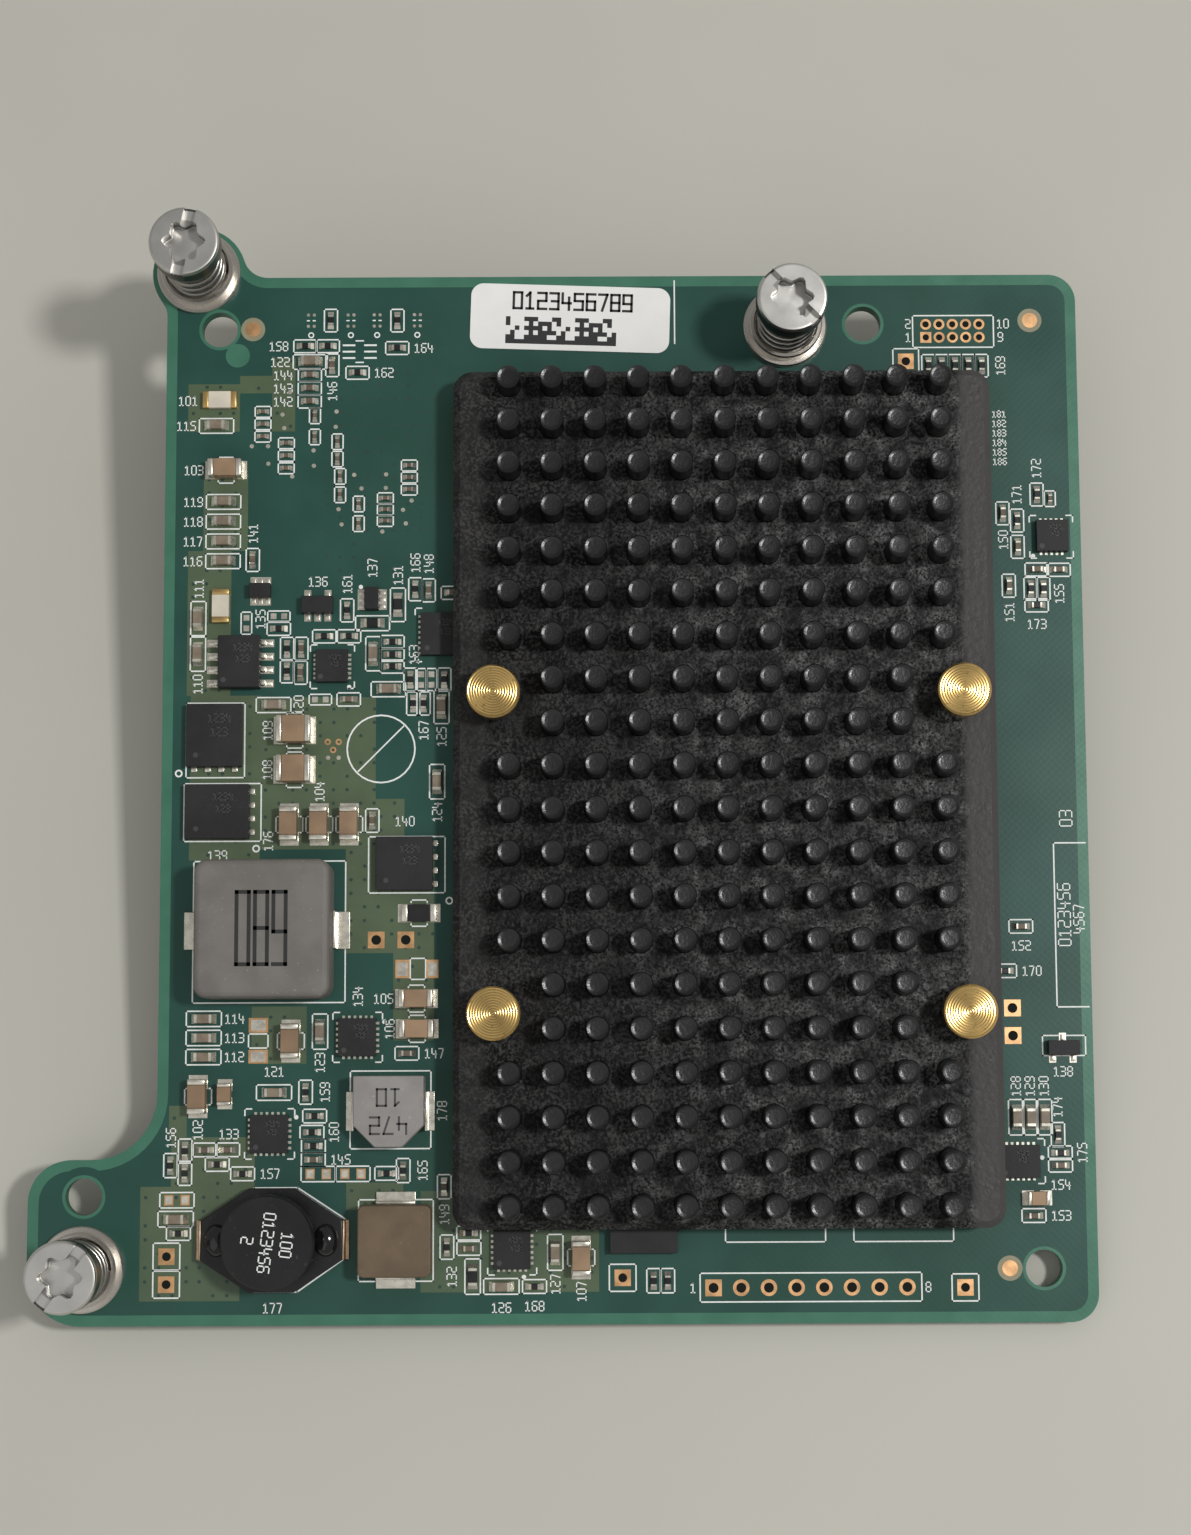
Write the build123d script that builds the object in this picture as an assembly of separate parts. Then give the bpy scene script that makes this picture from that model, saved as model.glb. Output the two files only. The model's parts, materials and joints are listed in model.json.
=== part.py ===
from build123d import *
from math import cos, pi, sin
import os

# Mezzanine card with a pin-fin heat sink and three captive screws.
# Millimetres, +Z up from the component face. The origin is the axis of the
# lower-left alignment hole, on the component face.

# Interface: alignment holes and captive screw axes
hole_diameter = 3.4
hole_lower_left = (0.0, 0.0)
hole_upper_left = (11.68, 81.70)
hole_upper_right = (72.95, 82.02)
hole_lower_right = (88.28, -6.87)
screw_upper_left = (9.66, 87.19)
screw_upper_right = (65.49, 81.71)
screw_lower_left = (-0.10, -6.60)

# Circuit board, its edges measured from the holes and screws
board_thickness = 1.6
small_hole_sides = 6
turned_sides = 12
left_margin = 5.03
right_margin = 4.97
lower_margin = 4.88
upper_margin = 5.06
board_left = hole_upper_left[0] - left_margin
board_right = hole_lower_right[0] + right_margin
board_bottom = hole_lower_right[1] - lower_margin
board_top = screw_upper_right[1] + upper_margin
board_corner_radius = 2.6
ear_radius = 4.45
ear_fillet = 2.4
tab_reach = 5.05
tab_rise = 3.35
tab_outer_radius = 3.9
tab_screw_radius = 5.0
tab_inner_fillet = 6.0
tab_left = screw_lower_left[0] - tab_reach

# Plated holes of the two bare headers and of the test points
long_header_at = (57.89, -8.50)
long_header_pitch = 2.54
long_header_count = 8
long_header_hole = 1.0
short_header_at = (78.94, 80.68)
short_header_pitch = 1.27
short_header_columns = 5
short_header_rows = 2
short_header_hole = 0.7
test_hole = 0.9
test_points = [(7.68, -5.45), (7.68, -7.98), (49.56, -7.55), (81.0, -8.56), (77.0, 78.36)]
sense_hole = 1.0
sense_points = [(26.81, 23.52), (29.56, 23.52), (85.85, 16.96), (85.85, 14.41)]

# Ferrules that hold the captive screws
ferrule_flange_diameter = 7.9
ferrule_flange_height = 0.7
ferrule_cup_diameter = 6.9
ferrule_cup_height = 1.9
ferrule_cup_wall = 0.45
ferrule_floor = 0.5
ferrule_neck_diameter = 4.9
ferrule_neck_clearance = 0.05
ferrule_rivet_height = 0.3
ferrule_bore = 2.8

# Captive screws and their springs, at rest with the screw pushed up
screw_head_diameter = 6.5
screw_head_height = 2.4
screw_travel = 4.0
screw_shank_diameter = 2.4
screw_thread_diameter = 3.0
screw_thread_length = 2.4
screw_seat_clearance = 0.05
screw_slot_width = 1.05
screw_slot_depth = 0.8
screw_recess_diameter = 3.4
screw_recess_waist = 2.4
screw_recess_depth = 1.5
captive_spring_length = 7.7
captive_spring_wire = 0.55
captive_spring_turns = 4.5
captive_spring_gap = 0.15
helix_steps = 6

# Moulded power inductor
power_inductor_at = (16.68, 24.42)
power_inductor_width = 12.45
power_inductor_depth = 12.7
power_inductor_height = 5.0
power_inductor_corner = 1.2
power_inductor_edge = 0.4
power_terminal_width = 3.5
power_terminal_reach = 1.5
power_terminal_height = 2.2
power_terminal_sheet = 0.3

# Square inductor
square_inductor_at = (28.75, -4.02)
square_inductor_width = 6.7
square_inductor_depth = 6.5
square_inductor_height = 2.8
square_inductor_corner = 0.6
square_terminal_width = 3.65
square_terminal_reach = 1.15
square_terminal_height = 0.9
square_terminal_sheet = 0.3

# Drum inductor, to the left of the square one
drum_inductor_y = -3.95
drum_base_length = 12.95
drum_base_width = 9.4
drum_base_end = 3.6
drum_base_side = 4.2
drum_base_height = 1.4
drum_winding_diameter = 7.4
drum_winding_height = 2.3
drum_top_diameter = 8.55
drum_top_height = 1.4
drum_terminal_length = 0.35
drum_terminal_sheet = 0.2
drum_right_clearance = 0.925
drum_resistor_clearance = 1.15
drum_capacitor_clearance = 1.095
drum_half_span = drum_base_length / 2 + drum_terminal_sheet + drum_terminal_length
drum_right = square_inductor_at[0] - square_inductor_width / 2 - drum_right_clearance
drum_left = drum_right - 2 * drum_half_span
drum_inductor_at = (drum_right - drum_half_span, drum_inductor_y)

# Small moulded inductor with two cut corners
cut_inductor_at = (28.2, 7.72)
cut_inductor_side = 6.5
cut_inductor_height = 3.0
cut_inductor_cut = 2.0
cut_terminal_width = 3.6
cut_terminal_reach = 0.85
cut_terminal_height = 1.5
cut_terminal_sheet = 0.25

# Controller chip, thermal pad and heat sink
chip_side = 31.0
chip_height = 1.5
pad_side = 27.0
pad_thickness = 0.5
plate_thickness = 2.0
plate_corner = 1.8
plate_edge_cut = 0.65
plate_left_clearance = 2.0
plate_right_strip = 8.85
plate_screw_clearance = 1.15
plate_foot = 8.75
pin_columns = 11
pin_rows = 20
pin_sides = 6
pin_diameter = 2.15
pin_height = 3.4
pin_left_margin = 5.24
pin_right_margin = 5.06
pin_upper_margin = 1.46
pin_lower_margin = 2.15
skipped_rows = (7, 8, 14, 15)
plate_left = square_inductor_at[0] + square_inductor_width / 2 + plate_left_clearance
plate_right = board_right - plate_right_strip
plate_bottom = board_bottom + plate_foot
plate_top = screw_upper_right[1] - ferrule_flange_diameter / 2 - plate_screw_clearance
plate_underside = chip_height + pad_thickness
plate_upper_face = plate_underside + plate_thickness
pin_pitch_x = (plate_right - plate_left - pin_left_margin - pin_right_margin) / (pin_columns - 1)
pin_pitch_y = (plate_top - plate_bottom - pin_upper_margin - pin_lower_margin) / (pin_rows - 1)

# Push pins that press the heat sink down through springs
push_pin_left_inset = 3.85
push_pin_right_inset = 3.4
push_pin_spacing = 29.3
push_pin_row = 11
push_pin_head_diameter = 4.9
push_pin_head_height = 2.0
push_pin_shank_diameter = 2.0
push_pin_hole_diameter = 2.6
push_pin_barb_diameter = 3.4
push_pin_barb_length = 2.2
push_pin_tip_diameter = 1.4
push_pin_spring_length = 1.55
push_pin_spring_wire = 0.35
push_pin_spring_turns = 1.5
push_pin_seat_clearance = 0.05
push_pin_spring_steps = 6

# Mezzanine connector on the underside
connector_at = (22.6, 73.2)
connector_width = 18.0
connector_length = 25.0
connector_height = 9.4
connector_wall = 1.3
connector_floor = 3.0
connector_wafer_count = 8
connector_wafer_thickness = 0.6
connector_wafer_margin = 1.0
connector_wafer_recess = 1.4

# Label
label_at = (45.05, 82.68)
label_width = 19.0
label_height = 6.35
label_thickness = 0.12
label_corner = 1.2
label_turn = -1.9

# Leaded chip with eight legs
leaded_chip_at = (13.95, 49.55)
leaded_chip_width = 3.9
leaded_chip_length = 4.9
leaded_chip_height = 1.65
leaded_chip_leg_count = 4
leg_pitch = 1.27
leg_width = 0.42
leg_sheet = 0.2
leg_reach = 1.05
leg_foot = 0.6
leg_exit = 0.8

# Power transistors: centre, size along X, size along Y, side of the leads
transistor_height = 1.0
transistor_lead_width = 0.55
transistor_lead_reach = 0.45
transistor_lead_sheet = 0.25
transistor_lead_count = 4
power_transistors = [
    ((11.62, 42.68), 5.2, 5.9, "lower"),
    ((11.97, 35.52), 6.0, 5.1, "right"),
    ((29.45, 30.60), 5.3, 5.0, "right"),
]

# Small leaded packages: centre, body size along X and Y, legs on one side and
# on the other, pitch, and whether the legs leave along X
small_package_height = 1.05
small_leg_width = 0.35
small_leg_reach = 0.55
small_leg_sheet = 0.15
small_packages = [
    ((15.78, 56.42), 2.0, 1.3, 3, 3, 0.65, False),
    ((21.18, 55.02), 2.95, 1.6, 2, 3, 0.95, False),
    ((26.30, 55.58), 1.35, 2.1, 3, 3, 0.65, True),
    ((90.42, 13.27), 2.9, 1.35, 1, 2, 0.95, False),
]

# Flat leadless chips: centre, size along X, size along Y
flat_chip_height = 0.85
flat_chips = [
    ((90.46, 61.33), 3.0, 3.0),
    ((32.90, 52.20), 4.0, 4.0),
    ((22.58, 49.22), 3.05, 3.05),
    ((25.13, 14.52), 3.5, 3.5),
    ((17.06, 5.68), 3.5, 3.5),
    ((86.05, 2.88), 3.9, 3.0),
    ((39.42, -4.95), 3.4, 3.5),
]
wide_chip_at = (51.5, -2.85)
wide_chip_width = 6.2
wide_chip_depth = 4.9
wide_chip_height = 1.0

# Chip parts: the long side lies along X, or along Y where it is upright
ACROSS = 0
UPRIGHT = 90
terminal_share = 0.17

capacitor_1210_size = (3.2, 2.5, 1.9)
capacitors_1210 = [(19.10, 43.19, ACROSS), (19.10, 39.48, ACROSS)]

capacitor_1206_size = (3.2, 1.65, 1.6)
capacitors_1206 = [(12.41, 68.07, ACROSS), (30.57, 18.07, ACROSS), (30.64, 15.28, ACROSS)]
capacitors_1206 += [(18.65 + 2.8 * i, 34.33, UPRIGHT) for i in range(3)]
capacitors_1206 += [(18.95, 14.20, UPRIGHT), (10.42, 9.13, UPRIGHT), (45.76, -5.70, UPRIGHT)]

capacitor_0805_size = (2.0, 1.25, 1.2)
capacitors_0805 = [(12.90, 9.34, UPRIGHT), (87.75, -0.48, ACROSS)]

capacitor_0603_size = (1.7, 0.85, 0.8)
capacitors_0603 = [(12.19, 65.02 - 1.9 * i, ACROSS) for i in range(4)]
capacitors_0603 += [(10.87, 16.28 - 1.76 * i, ACROSS) for i in range(3)]
capacitors_0603 += [(86.00 + 1.29 * i, 6.90, UPRIGHT) for i in range(3)]
capacitors_0603 += [(11.44, 72.36, ACROSS), (20.30, 78.53, ACROSS), (17.08, 45.60, ACROSS)]
capacitors_0603 += [(27.86, 47.05, ACROSS), (17.43, 9.47, ACROSS), (38.43, -8.28, ACROSS)]
capacitors_0603 += [(9.93, 53.85, UPRIGHT), (9.93, 50.46, UPRIGHT), (26.42, 50.43, UPRIGHT)]
capacitors_0603 += [(32.85, 45.40, UPRIGHT), (32.45, 38.30, UPRIGHT), (21.65, 15.06, UPRIGHT)]
capacitors_0603 += [(43.38, -5.22, UPRIGHT)]
drum_capacitor_x = drum_left - drum_capacitor_clearance - capacitor_0603_size[0] / 2
capacitors_0603 += [(drum_capacitor_x, -2.05, ACROSS)]

capacitor_0402_size = (1.05, 0.55, 0.5)
capacitors_0402 = [(20.27, 77.24 - 1.28 * i, ACROSS) for i in range(3)]
capacitors_0402 += [(22.40, 78.20, UPRIGHT), (15.00, 59.43, UPRIGHT), (31.62, 56.45, UPRIGHT)]
capacitors_0402 += [(33.90, 56.20, ACROSS), (19.65, 50.92, UPRIGHT), (19.60, 48.66, UPRIGHT)]
capacitors_0402 += [(24.13, 46.10, ACROSS), (26.40, 34.67, UPRIGHT), (29.70, 13.02, ACROSS)]
capacitors_0402 += [(21.10, 3.32, ACROSS), (33.17, 0.79, UPRIGHT), (35.45, -4.82, ACROSS)]
capacitors_0402 += [(85.90, 63.60, UPRIGHT), (87.26, 60.38, UPRIGHT), (86.35, 56.66, UPRIGHT)]
capacitors_0402 += [(89.02, 58.20, ACROSS), (91.08, 58.16, ACROSS), (89.98, 2.50, ACROSS)]
capacitors_0402 += [(86.79, 24.52, ACROSS), (87.43, -2.08, ACROSS)]
capacitors_0402 += [(11.10, 4.25, ACROSS), (13.20, 4.25, ACROSS)]

capacitor_0201_size = (0.75, 0.42, 0.35)
capacitors_0201 = [(15.85, 73.70 - 1.2 * i, ACROSS) for i in range(3)]
capacitors_0201 += [(18.09, 70.65 - 1.21 * i, ACROSS) for i in range(3)]
capacitors_0201 += [(27.50, 65.30 - 1.09 * i, ACROSS) for i in range(3)]
capacitors_0201 += [(29.76, 68.45 - 1.16 * i, ACROSS) for i in range(3)]
capacitors_0201 += [(20.78, 73.29, UPRIGHT), (20.78, 71.25, UPRIGHT), (22.94, 70.78, UPRIGHT)]
capacitors_0201 += [(22.94, 69.10, UPRIGHT), (23.21, 67.43, UPRIGHT), (23.21, 65.65, UPRIGHT)]
capacitors_0201 += [(24.98, 64.76, UPRIGHT), (24.98, 62.87, UPRIGHT), (90.40, 64.99, UPRIGHT)]

resistor_0603_size = (1.65, 0.85, 0.45)
resistors_0603 = [(28.72, 55.08, UPRIGHT), (26.34, 53.33, ACROSS), (35.79, -7.38, UPRIGHT)]

resistor_0402_size = (1.05, 0.55, 0.35)
resistors_0402 = [(79.14 + 1.265 * i, 77.90, UPRIGHT) for i in range(5)]
resistors_0402 += [(19.82, 80.06, ACROSS), (21.96, 80.06, ACROSS), (28.57, 79.85, ACROSS)]
resistors_0402 += [(24.80, 77.46, ACROSS), (22.24, 82.56, UPRIGHT), (28.58, 82.53, UPRIGHT)]
resistors_0402 += [(30.36, 56.56, UPRIGHT), (17.51, 52.84, ACROSS), (23.94, 54.57, UPRIGHT)]
resistors_0402 += [(21.80, 52.10, ACROSS), (24.13, 52.10, ACROSS), (18.31, 50.92, UPRIGHT)]
resistors_0402 += [(18.31, 48.80, UPRIGHT), (28.22, 51.54, ACROSS), (28.22, 50.33, ACROSS)]
resistors_0402 += [(28.22, 49.20, ACROSS), (29.93, 47.95, UPRIGHT), (33.10, 47.95, UPRIGHT)]
resistors_0402 += [(30.20, 45.69, UPRIGHT), (31.16, 45.69, UPRIGHT), (20.35, 9.49, UPRIGHT)]
resistors_0402 += [(21.20, 7.30, ACROSS), (20.96, 5.82, ACROSS), (21.10, 4.56, ACROSS)]
resistors_0402 += [(27.88, 2.03, ACROSS), (29.39, 2.28, UPRIGHT), (33.43, -4.70, UPRIGHT)]
resistors_0402 += [(35.43, -3.43, ACROSS), (41.47, -8.30, ACROSS), (52.40, -7.83, UPRIGHT)]
resistors_0402 += [(53.70, -7.83, UPRIGHT), (9.28, 4.15, UPRIGHT), (9.28, 2.12, UPRIGHT)]
resistors_0402 += [(7.95, 2.83, UPRIGHT), (12.25, 2.92, ACROSS), (14.60, 2.05, ACROSS)]
drum_resistor_x = drum_left - drum_resistor_clearance - resistor_0402_size[0] / 2
resistors_0402 += [(drum_resistor_x, -3.35, ACROSS), (87.26, 62.90, UPRIGHT), (89.17, 65.40, UPRIGHT)]
resistors_0402 += [(88.41, 56.35, UPRIGHT), (89.60, 56.35, UPRIGHT), (88.93, 54.77, ACROSS)]
resistors_0402 += [(89.80, 5.30, UPRIGHT), (89.98, 3.63, ACROSS), (85.20, 20.40, ACROSS)]

sense_resistor_size = (3.2, 1.6, 0.55)
sense_resistors = [(30.80, 26.00, ACROSS)]

fuse_size = (3.2, 1.6, 0.65)
fuses = [(11.78, 74.78, ACROSS), (12.06, 54.98, UPRIGHT)]


def block(width, depth, height, x, y, z=0.0, turn=0):
    """A box that stands on height z with its centre over x, y."""
    body = Box(width, depth, height, align=(Align.CENTER, Align.CENTER, Align.MIN))
    return Pos(x, y, z) * Rot(0, 0, turn) * body


def disc(diameter, height, x, y, z=0.0):
    """A round post that stands on height z with its axis at x, y."""
    return Pos(x, y, z) * Cylinder(diameter / 2, height, align=(Align.CENTER, Align.CENTER, Align.MIN))


def many_sided(diameter, sides=turned_sides):
    """A circle drawn with flat sides that stay outside it."""
    return RegularPolygon(diameter / 2, sides, major_radius=False)


def post(diameter, bottom, top):
    """A round post about Z with flat sides."""
    return extrude(Pos(0, 0, bottom) * many_sided(diameter), top - bottom)


def group(shapes):
    """Separate solids that share one node."""
    return Compound([solid for shape in shapes for solid in shape.solids()])


def vertex_near(sketch, x, y):
    """The corner of a sketch that lies nearest to x, y."""
    return sorted(sketch.vertices(), key=lambda v: (v.X - x) ** 2 + (v.Y - y) ** 2)[0]


def coil(radius, wire, length, turns, steps):
    """A compression spring of square wire, from z = 0 up to its length."""
    sections = []
    count = int(turns * steps)
    rise = length - wire
    for index in range(count + 1):
        angle = 360.0 * index / steps
        plane = Pos(0, 0, wire / 2 + rise * index / count) * Rot(0, 0, angle) * Pos(radius, 0, 0)
        sections.append(plane * Rot(90, 0, 0) * Rectangle(wire, wire))
    return loft(sections, ruled=True)


def grid(at, pitch, columns, rows):
    """Points of a grid that starts at its lower-left point."""
    return [(at[0] + pitch * i, at[1] + pitch * j) for i in range(columns) for j in range(rows)]


screw_points = (screw_upper_left, screw_upper_right, screw_lower_left)
hole_points = (hole_lower_left, hole_upper_left, hole_upper_right, hole_lower_right)
plate_center_x = (plate_left + plate_right) / 2
push_pin_center_y = plate_top - pin_upper_margin - pin_pitch_y * push_pin_row
push_pin_columns = (plate_left + push_pin_left_inset, plate_right - push_pin_right_inset)
push_pin_center_x = sum(push_pin_columns) / 2
push_pin_ends = (push_pin_center_y - push_pin_spacing / 2, push_pin_center_y + push_pin_spacing / 2)
push_pin_points = [(x, y) for x in push_pin_columns for y in push_pin_ends]


def board_outline():
    """Board with its ear round the upper-left screw and its tab round the lower-left one."""
    width = board_right - board_left
    height = board_top - board_bottom
    main = Pos(board_left + width / 2, board_bottom + height / 2) * Rectangle(width, height)
    tab_width = board_left - tab_left + board_corner_radius
    tab_height = tab_rise - board_bottom
    tab = Pos(tab_left + tab_width / 2, board_bottom + tab_height / 2) * Rectangle(tab_width, tab_height)
    ear = Pos(*screw_upper_left) * Circle(ear_radius)
    outline = main + tab + ear
    drop = screw_upper_left[0] - board_left
    ear_foot_y = screw_upper_left[1] - (ear_radius**2 - drop**2) ** 0.5
    rise = screw_upper_left[1] - board_top
    ear_foot_x = screw_upper_left[0] + (ear_radius**2 - rise**2) ** 0.5
    corners = [
        (board_right, board_top, board_corner_radius),
        (board_right, board_bottom, board_corner_radius),
        (tab_left, tab_rise, tab_outer_radius),
        (tab_left, board_bottom, tab_screw_radius),
        (board_left, tab_rise, tab_inner_fillet),
        (board_left, ear_foot_y, ear_fillet),
        (ear_foot_x, board_top, ear_fillet),
    ]
    for x, y, radius in corners:
        outline = fillet(vertex_near(outline, x, y), radius)
    return outline


def circuit_board():
    """The bare board with all its holes."""
    long_header = grid(long_header_at, long_header_pitch, long_header_count, 1)
    short_header = grid(short_header_at, short_header_pitch, short_header_columns, short_header_rows)
    plated = [(point, long_header_hole) for point in long_header]
    plated += [(point, short_header_hole) for point in short_header]
    plated += [(point, test_hole) for point in test_points]
    plated += [(point, sense_hole) for point in sense_points]
    ferrule_hole = ferrule_neck_diameter + 2 * ferrule_neck_clearance
    cuts = [Pos(*point) * Circle(hole_diameter / 2) for point in hole_points]
    cuts += [Pos(*point) * many_sided(ferrule_hole) for point in screw_points]
    cuts += [Pos(*point) * many_sided(push_pin_hole_diameter) for point in push_pin_points]
    cuts += [Pos(*point) * many_sided(diameter, small_hole_sides) for point, diameter in plated]
    return extrude(board_outline() - cuts, -board_thickness)


def heat_sink():
    """Base plate with cut upper edges and a field of pins, one casting."""
    width = plate_right - plate_left
    length = plate_top - plate_bottom
    face = RectangleRounded(width, length, plate_corner)
    plate = Pos(plate_center_x, plate_bottom + length / 2, plate_underside) * extrude(face, plate_thickness)
    plate = chamfer(plate.faces().sort_by(Axis.Z)[-1].outer_wire().edges(), plate_edge_cut)
    hole = post(push_pin_hole_diameter, plate_underside, plate_upper_face)
    plate -= [Pos(*point) * hole for point in push_pin_points]
    feet = []
    for column in range(pin_columns):
        outer = column in (0, pin_columns - 1)
        for row in range(pin_rows):
            if not (outer and row in skipped_rows):
                x = plate_left + pin_left_margin + pin_pitch_x * column
                y = plate_top - pin_upper_margin - pin_pitch_y * row
                feet.append(Pos(x, y, plate_upper_face) * RegularPolygon(pin_diameter / 2, pin_sides))
    pins = [extrude(foot, pin_height) for foot in feet]
    return plate.fuse(*pins)


def thermal_pad():
    """Pad between the controller chip and the heat sink."""
    return block(pad_side, pad_side, pad_thickness, push_pin_center_x, push_pin_center_y, chip_height)


def controller_chip():
    """Main chip under the heat sink."""
    return block(chip_side, chip_side, chip_height, push_pin_center_x, push_pin_center_y)


def push_pin(x, y):
    """Turned pin with a flat head above the spring and a barb below the board."""
    head_bottom = plate_upper_face + push_pin_spring_length
    barb_top = -board_thickness - push_pin_seat_clearance
    barb_tip = barb_top - push_pin_barb_length
    pin = post(push_pin_head_diameter, head_bottom, head_bottom + push_pin_head_height)
    pin += post(push_pin_shank_diameter, barb_top, head_bottom)
    barb = post(push_pin_barb_diameter, barb_tip, barb_top)
    barb_cut = (push_pin_barb_diameter - push_pin_tip_diameter) / 2
    barb = chamfer(barb.faces().sort_by(Axis.Z)[0].edges(), barb_cut)
    return Pos(x, y) * (pin + barb)


def push_pin_spring(x, y):
    """Spring round a push pin, between heat sink and head."""
    radius = push_pin_hole_diameter / 2 + push_pin_spring_wire
    size = (radius, push_pin_spring_wire, push_pin_spring_length)
    return Pos(x, y, plate_upper_face) * coil(*size, push_pin_spring_turns, push_pin_spring_steps)


def ferrule(x, y):
    """Flanged cup riveted into the board, open for screw and spring."""
    bottom = -board_thickness - ferrule_rivet_height
    cup_bore = ferrule_cup_diameter - 2 * ferrule_cup_wall
    body = post(ferrule_flange_diameter, 0, ferrule_flange_height)
    body += post(ferrule_cup_diameter, ferrule_flange_height, ferrule_cup_height)
    body += post(ferrule_neck_diameter, bottom, 0)
    body -= post(cup_bore, ferrule_floor, ferrule_cup_height)
    return Pos(x, y) * (body - post(ferrule_bore, bottom, ferrule_floor))


def captive_screw(x, y):
    """Slotted six-lobe screw, held by its thread under the ferrule."""
    head_bottom = ferrule_floor + captive_spring_length
    head_top = head_bottom + screw_head_height
    thread_top = -board_thickness - ferrule_rivet_height - screw_seat_clearance
    thread_end = thread_top - screw_thread_length
    screw = post(screw_head_diameter, head_bottom, head_top)
    screw += post(screw_shank_diameter, thread_top, head_bottom)
    screw += disc(screw_thread_diameter, screw_thread_length, 0, 0, thread_end)
    star = []
    for index in range(12):
        radius = (screw_recess_waist if index % 2 else screw_recess_diameter) / 2
        star.append((radius * cos(index * pi / 6), radius * sin(index * pi / 6)))
    recess = extrude(make_face(Polyline(star, close=True)), screw_recess_depth)
    screw -= Pos(0, 0, head_top - screw_recess_depth) * recess
    slot_floor = head_top - screw_slot_depth
    screw -= block(2 * screw_head_diameter, screw_slot_width, screw_slot_depth, 0, 0, slot_floor)
    return Pos(x, y) * screw


def captive_spring(x, y):
    """Spring between the ferrule's cup and the screw's head."""
    radius = ferrule_cup_diameter / 2 - ferrule_cup_wall - captive_spring_gap - captive_spring_wire / 2
    spring = coil(radius, captive_spring_wire, captive_spring_length, captive_spring_turns, helix_steps)
    return Pos(x, y, ferrule_floor) * spring


def connector_housing():
    """Shroud of the mezzanine connector, open downwards."""
    bottom = -board_thickness - connector_height
    body = block(connector_width, connector_length, connector_height, *connector_at, bottom)
    cavity_depth = connector_height - connector_floor
    inner_width = connector_width - 2 * connector_wall
    inner_length = connector_length - 2 * connector_wall
    return body - block(inner_width, inner_length, cavity_depth, *connector_at, bottom)


def connector_wafer_stack():
    """Contact wafers that hang from the connector's floor."""
    inner_width = connector_width - 2 * connector_wall
    pitch = inner_width / connector_wafer_count
    bottom = -board_thickness - connector_height + connector_wafer_recess
    height = connector_height - connector_floor - connector_wafer_recess
    length = connector_length - 2 * connector_wall - 2 * connector_wafer_margin
    start = connector_at[0] - inner_width / 2 + pitch / 2
    return group(
        block(connector_wafer_thickness, length, height, start + pitch * i, connector_at[1], bottom)
        for i in range(connector_wafer_count)
    )


def label():
    """Paper label with round corners."""
    face = RectangleRounded(label_width, label_height, label_corner)
    return Pos(*label_at) * Rot(0, 0, label_turn) * extrude(face, label_thickness)


def bent_terminal(width, reach, height, sheet):
    """Terminal with a foot along +X and an upright leaf at x = 0."""
    foot = block(reach, width, sheet, reach / 2, 0)
    return foot + block(sheet, width, height, sheet / 2, 0)


def terminal_pair(at, span, turn, width, reach, height, sheet):
    """Two bent terminals against opposite sides of a body of the given span."""
    one = Pos(span / 2, 0) * bent_terminal(width, reach, height, sheet)
    return group(Pos(*at) * Rot(0, 0, turn + half) * one for half in (0, 180))


def power_inductor_core():
    """Moulded block with round corners and eased upper edges."""
    face = RectangleRounded(power_inductor_width, power_inductor_depth, power_inductor_corner)
    core = extrude(face, power_inductor_height)
    core = chamfer(core.faces().sort_by(Axis.Z)[-1].edges(), power_inductor_edge)
    return Pos(*power_inductor_at) * core


def drum_octagon():
    """Elongated octagon of the drum inductor's base."""
    x = drum_base_length / 2
    y = drum_base_width / 2
    end = drum_base_end / 2
    side = drum_base_side / 2
    points = [(x, end), (side, y), (-side, y), (-x, end), (-x, -end), (-side, -y), (side, -y), (x, -end)]
    return make_face(Polyline(points, close=True))


def drum_inductor_core():
    """Ferrite drum: elongated base, winding core and round top."""
    winding_foot = drum_base_height
    top_foot = winding_foot + drum_winding_height
    drum = extrude(drum_octagon(), drum_base_height)
    drum += post(drum_winding_diameter, winding_foot, top_foot)
    drum += post(drum_top_diameter, top_foot, top_foot + drum_top_height)
    return Pos(*drum_inductor_at) * drum


def drum_terminals():
    """Metal ends of the drum inductor's base, standing on the board."""
    leaf_x = drum_base_length / 2 + drum_terminal_sheet / 2
    foot_x = drum_base_length / 2 + drum_terminal_sheet + drum_terminal_length / 2
    one = block(drum_terminal_sheet, drum_base_end, drum_base_height, leaf_x, 0)
    one += block(drum_terminal_length, drum_base_end, drum_terminal_sheet, foot_x, 0)
    return group(Pos(*drum_inductor_at) * Rot(0, 0, half) * one for half in (0, 180))


def cut_inductor_core():
    """Square moulded inductor with its two lower corners cut."""
    half = cut_inductor_side / 2
    inner = half - cut_inductor_cut
    points = [(half, half), (-half, half), (-half, -inner), (-inner, -half), (inner, -half), (half, -inner)]
    return Pos(*cut_inductor_at) * extrude(make_face(Polyline(points, close=True)), cut_inductor_height)


def square_inductor_core():
    """Square inductor block with round corners."""
    face = RectangleRounded(square_inductor_width, square_inductor_depth, square_inductor_corner)
    return Pos(*square_inductor_at) * extrude(face, square_inductor_height)


def gull_leg(width, reach, foot, exit_height, sheet):
    """Leg that leaves a body at x = 0 along +X, steps down and stands on a foot."""
    knee = reach - foot
    points = [
        (0, exit_height),
        (knee, exit_height),
        (knee, sheet),
        (reach, sheet),
        (reach, 0),
        (knee - sheet, 0),
        (knee - sheet, exit_height - sheet),
        (0, exit_height - sheet),
    ]
    side = make_face(Polyline([(x, -width / 2, z) for x, z in points], close=True))
    return extrude(side, amount=width, dir=(0, 1, 0))


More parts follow.
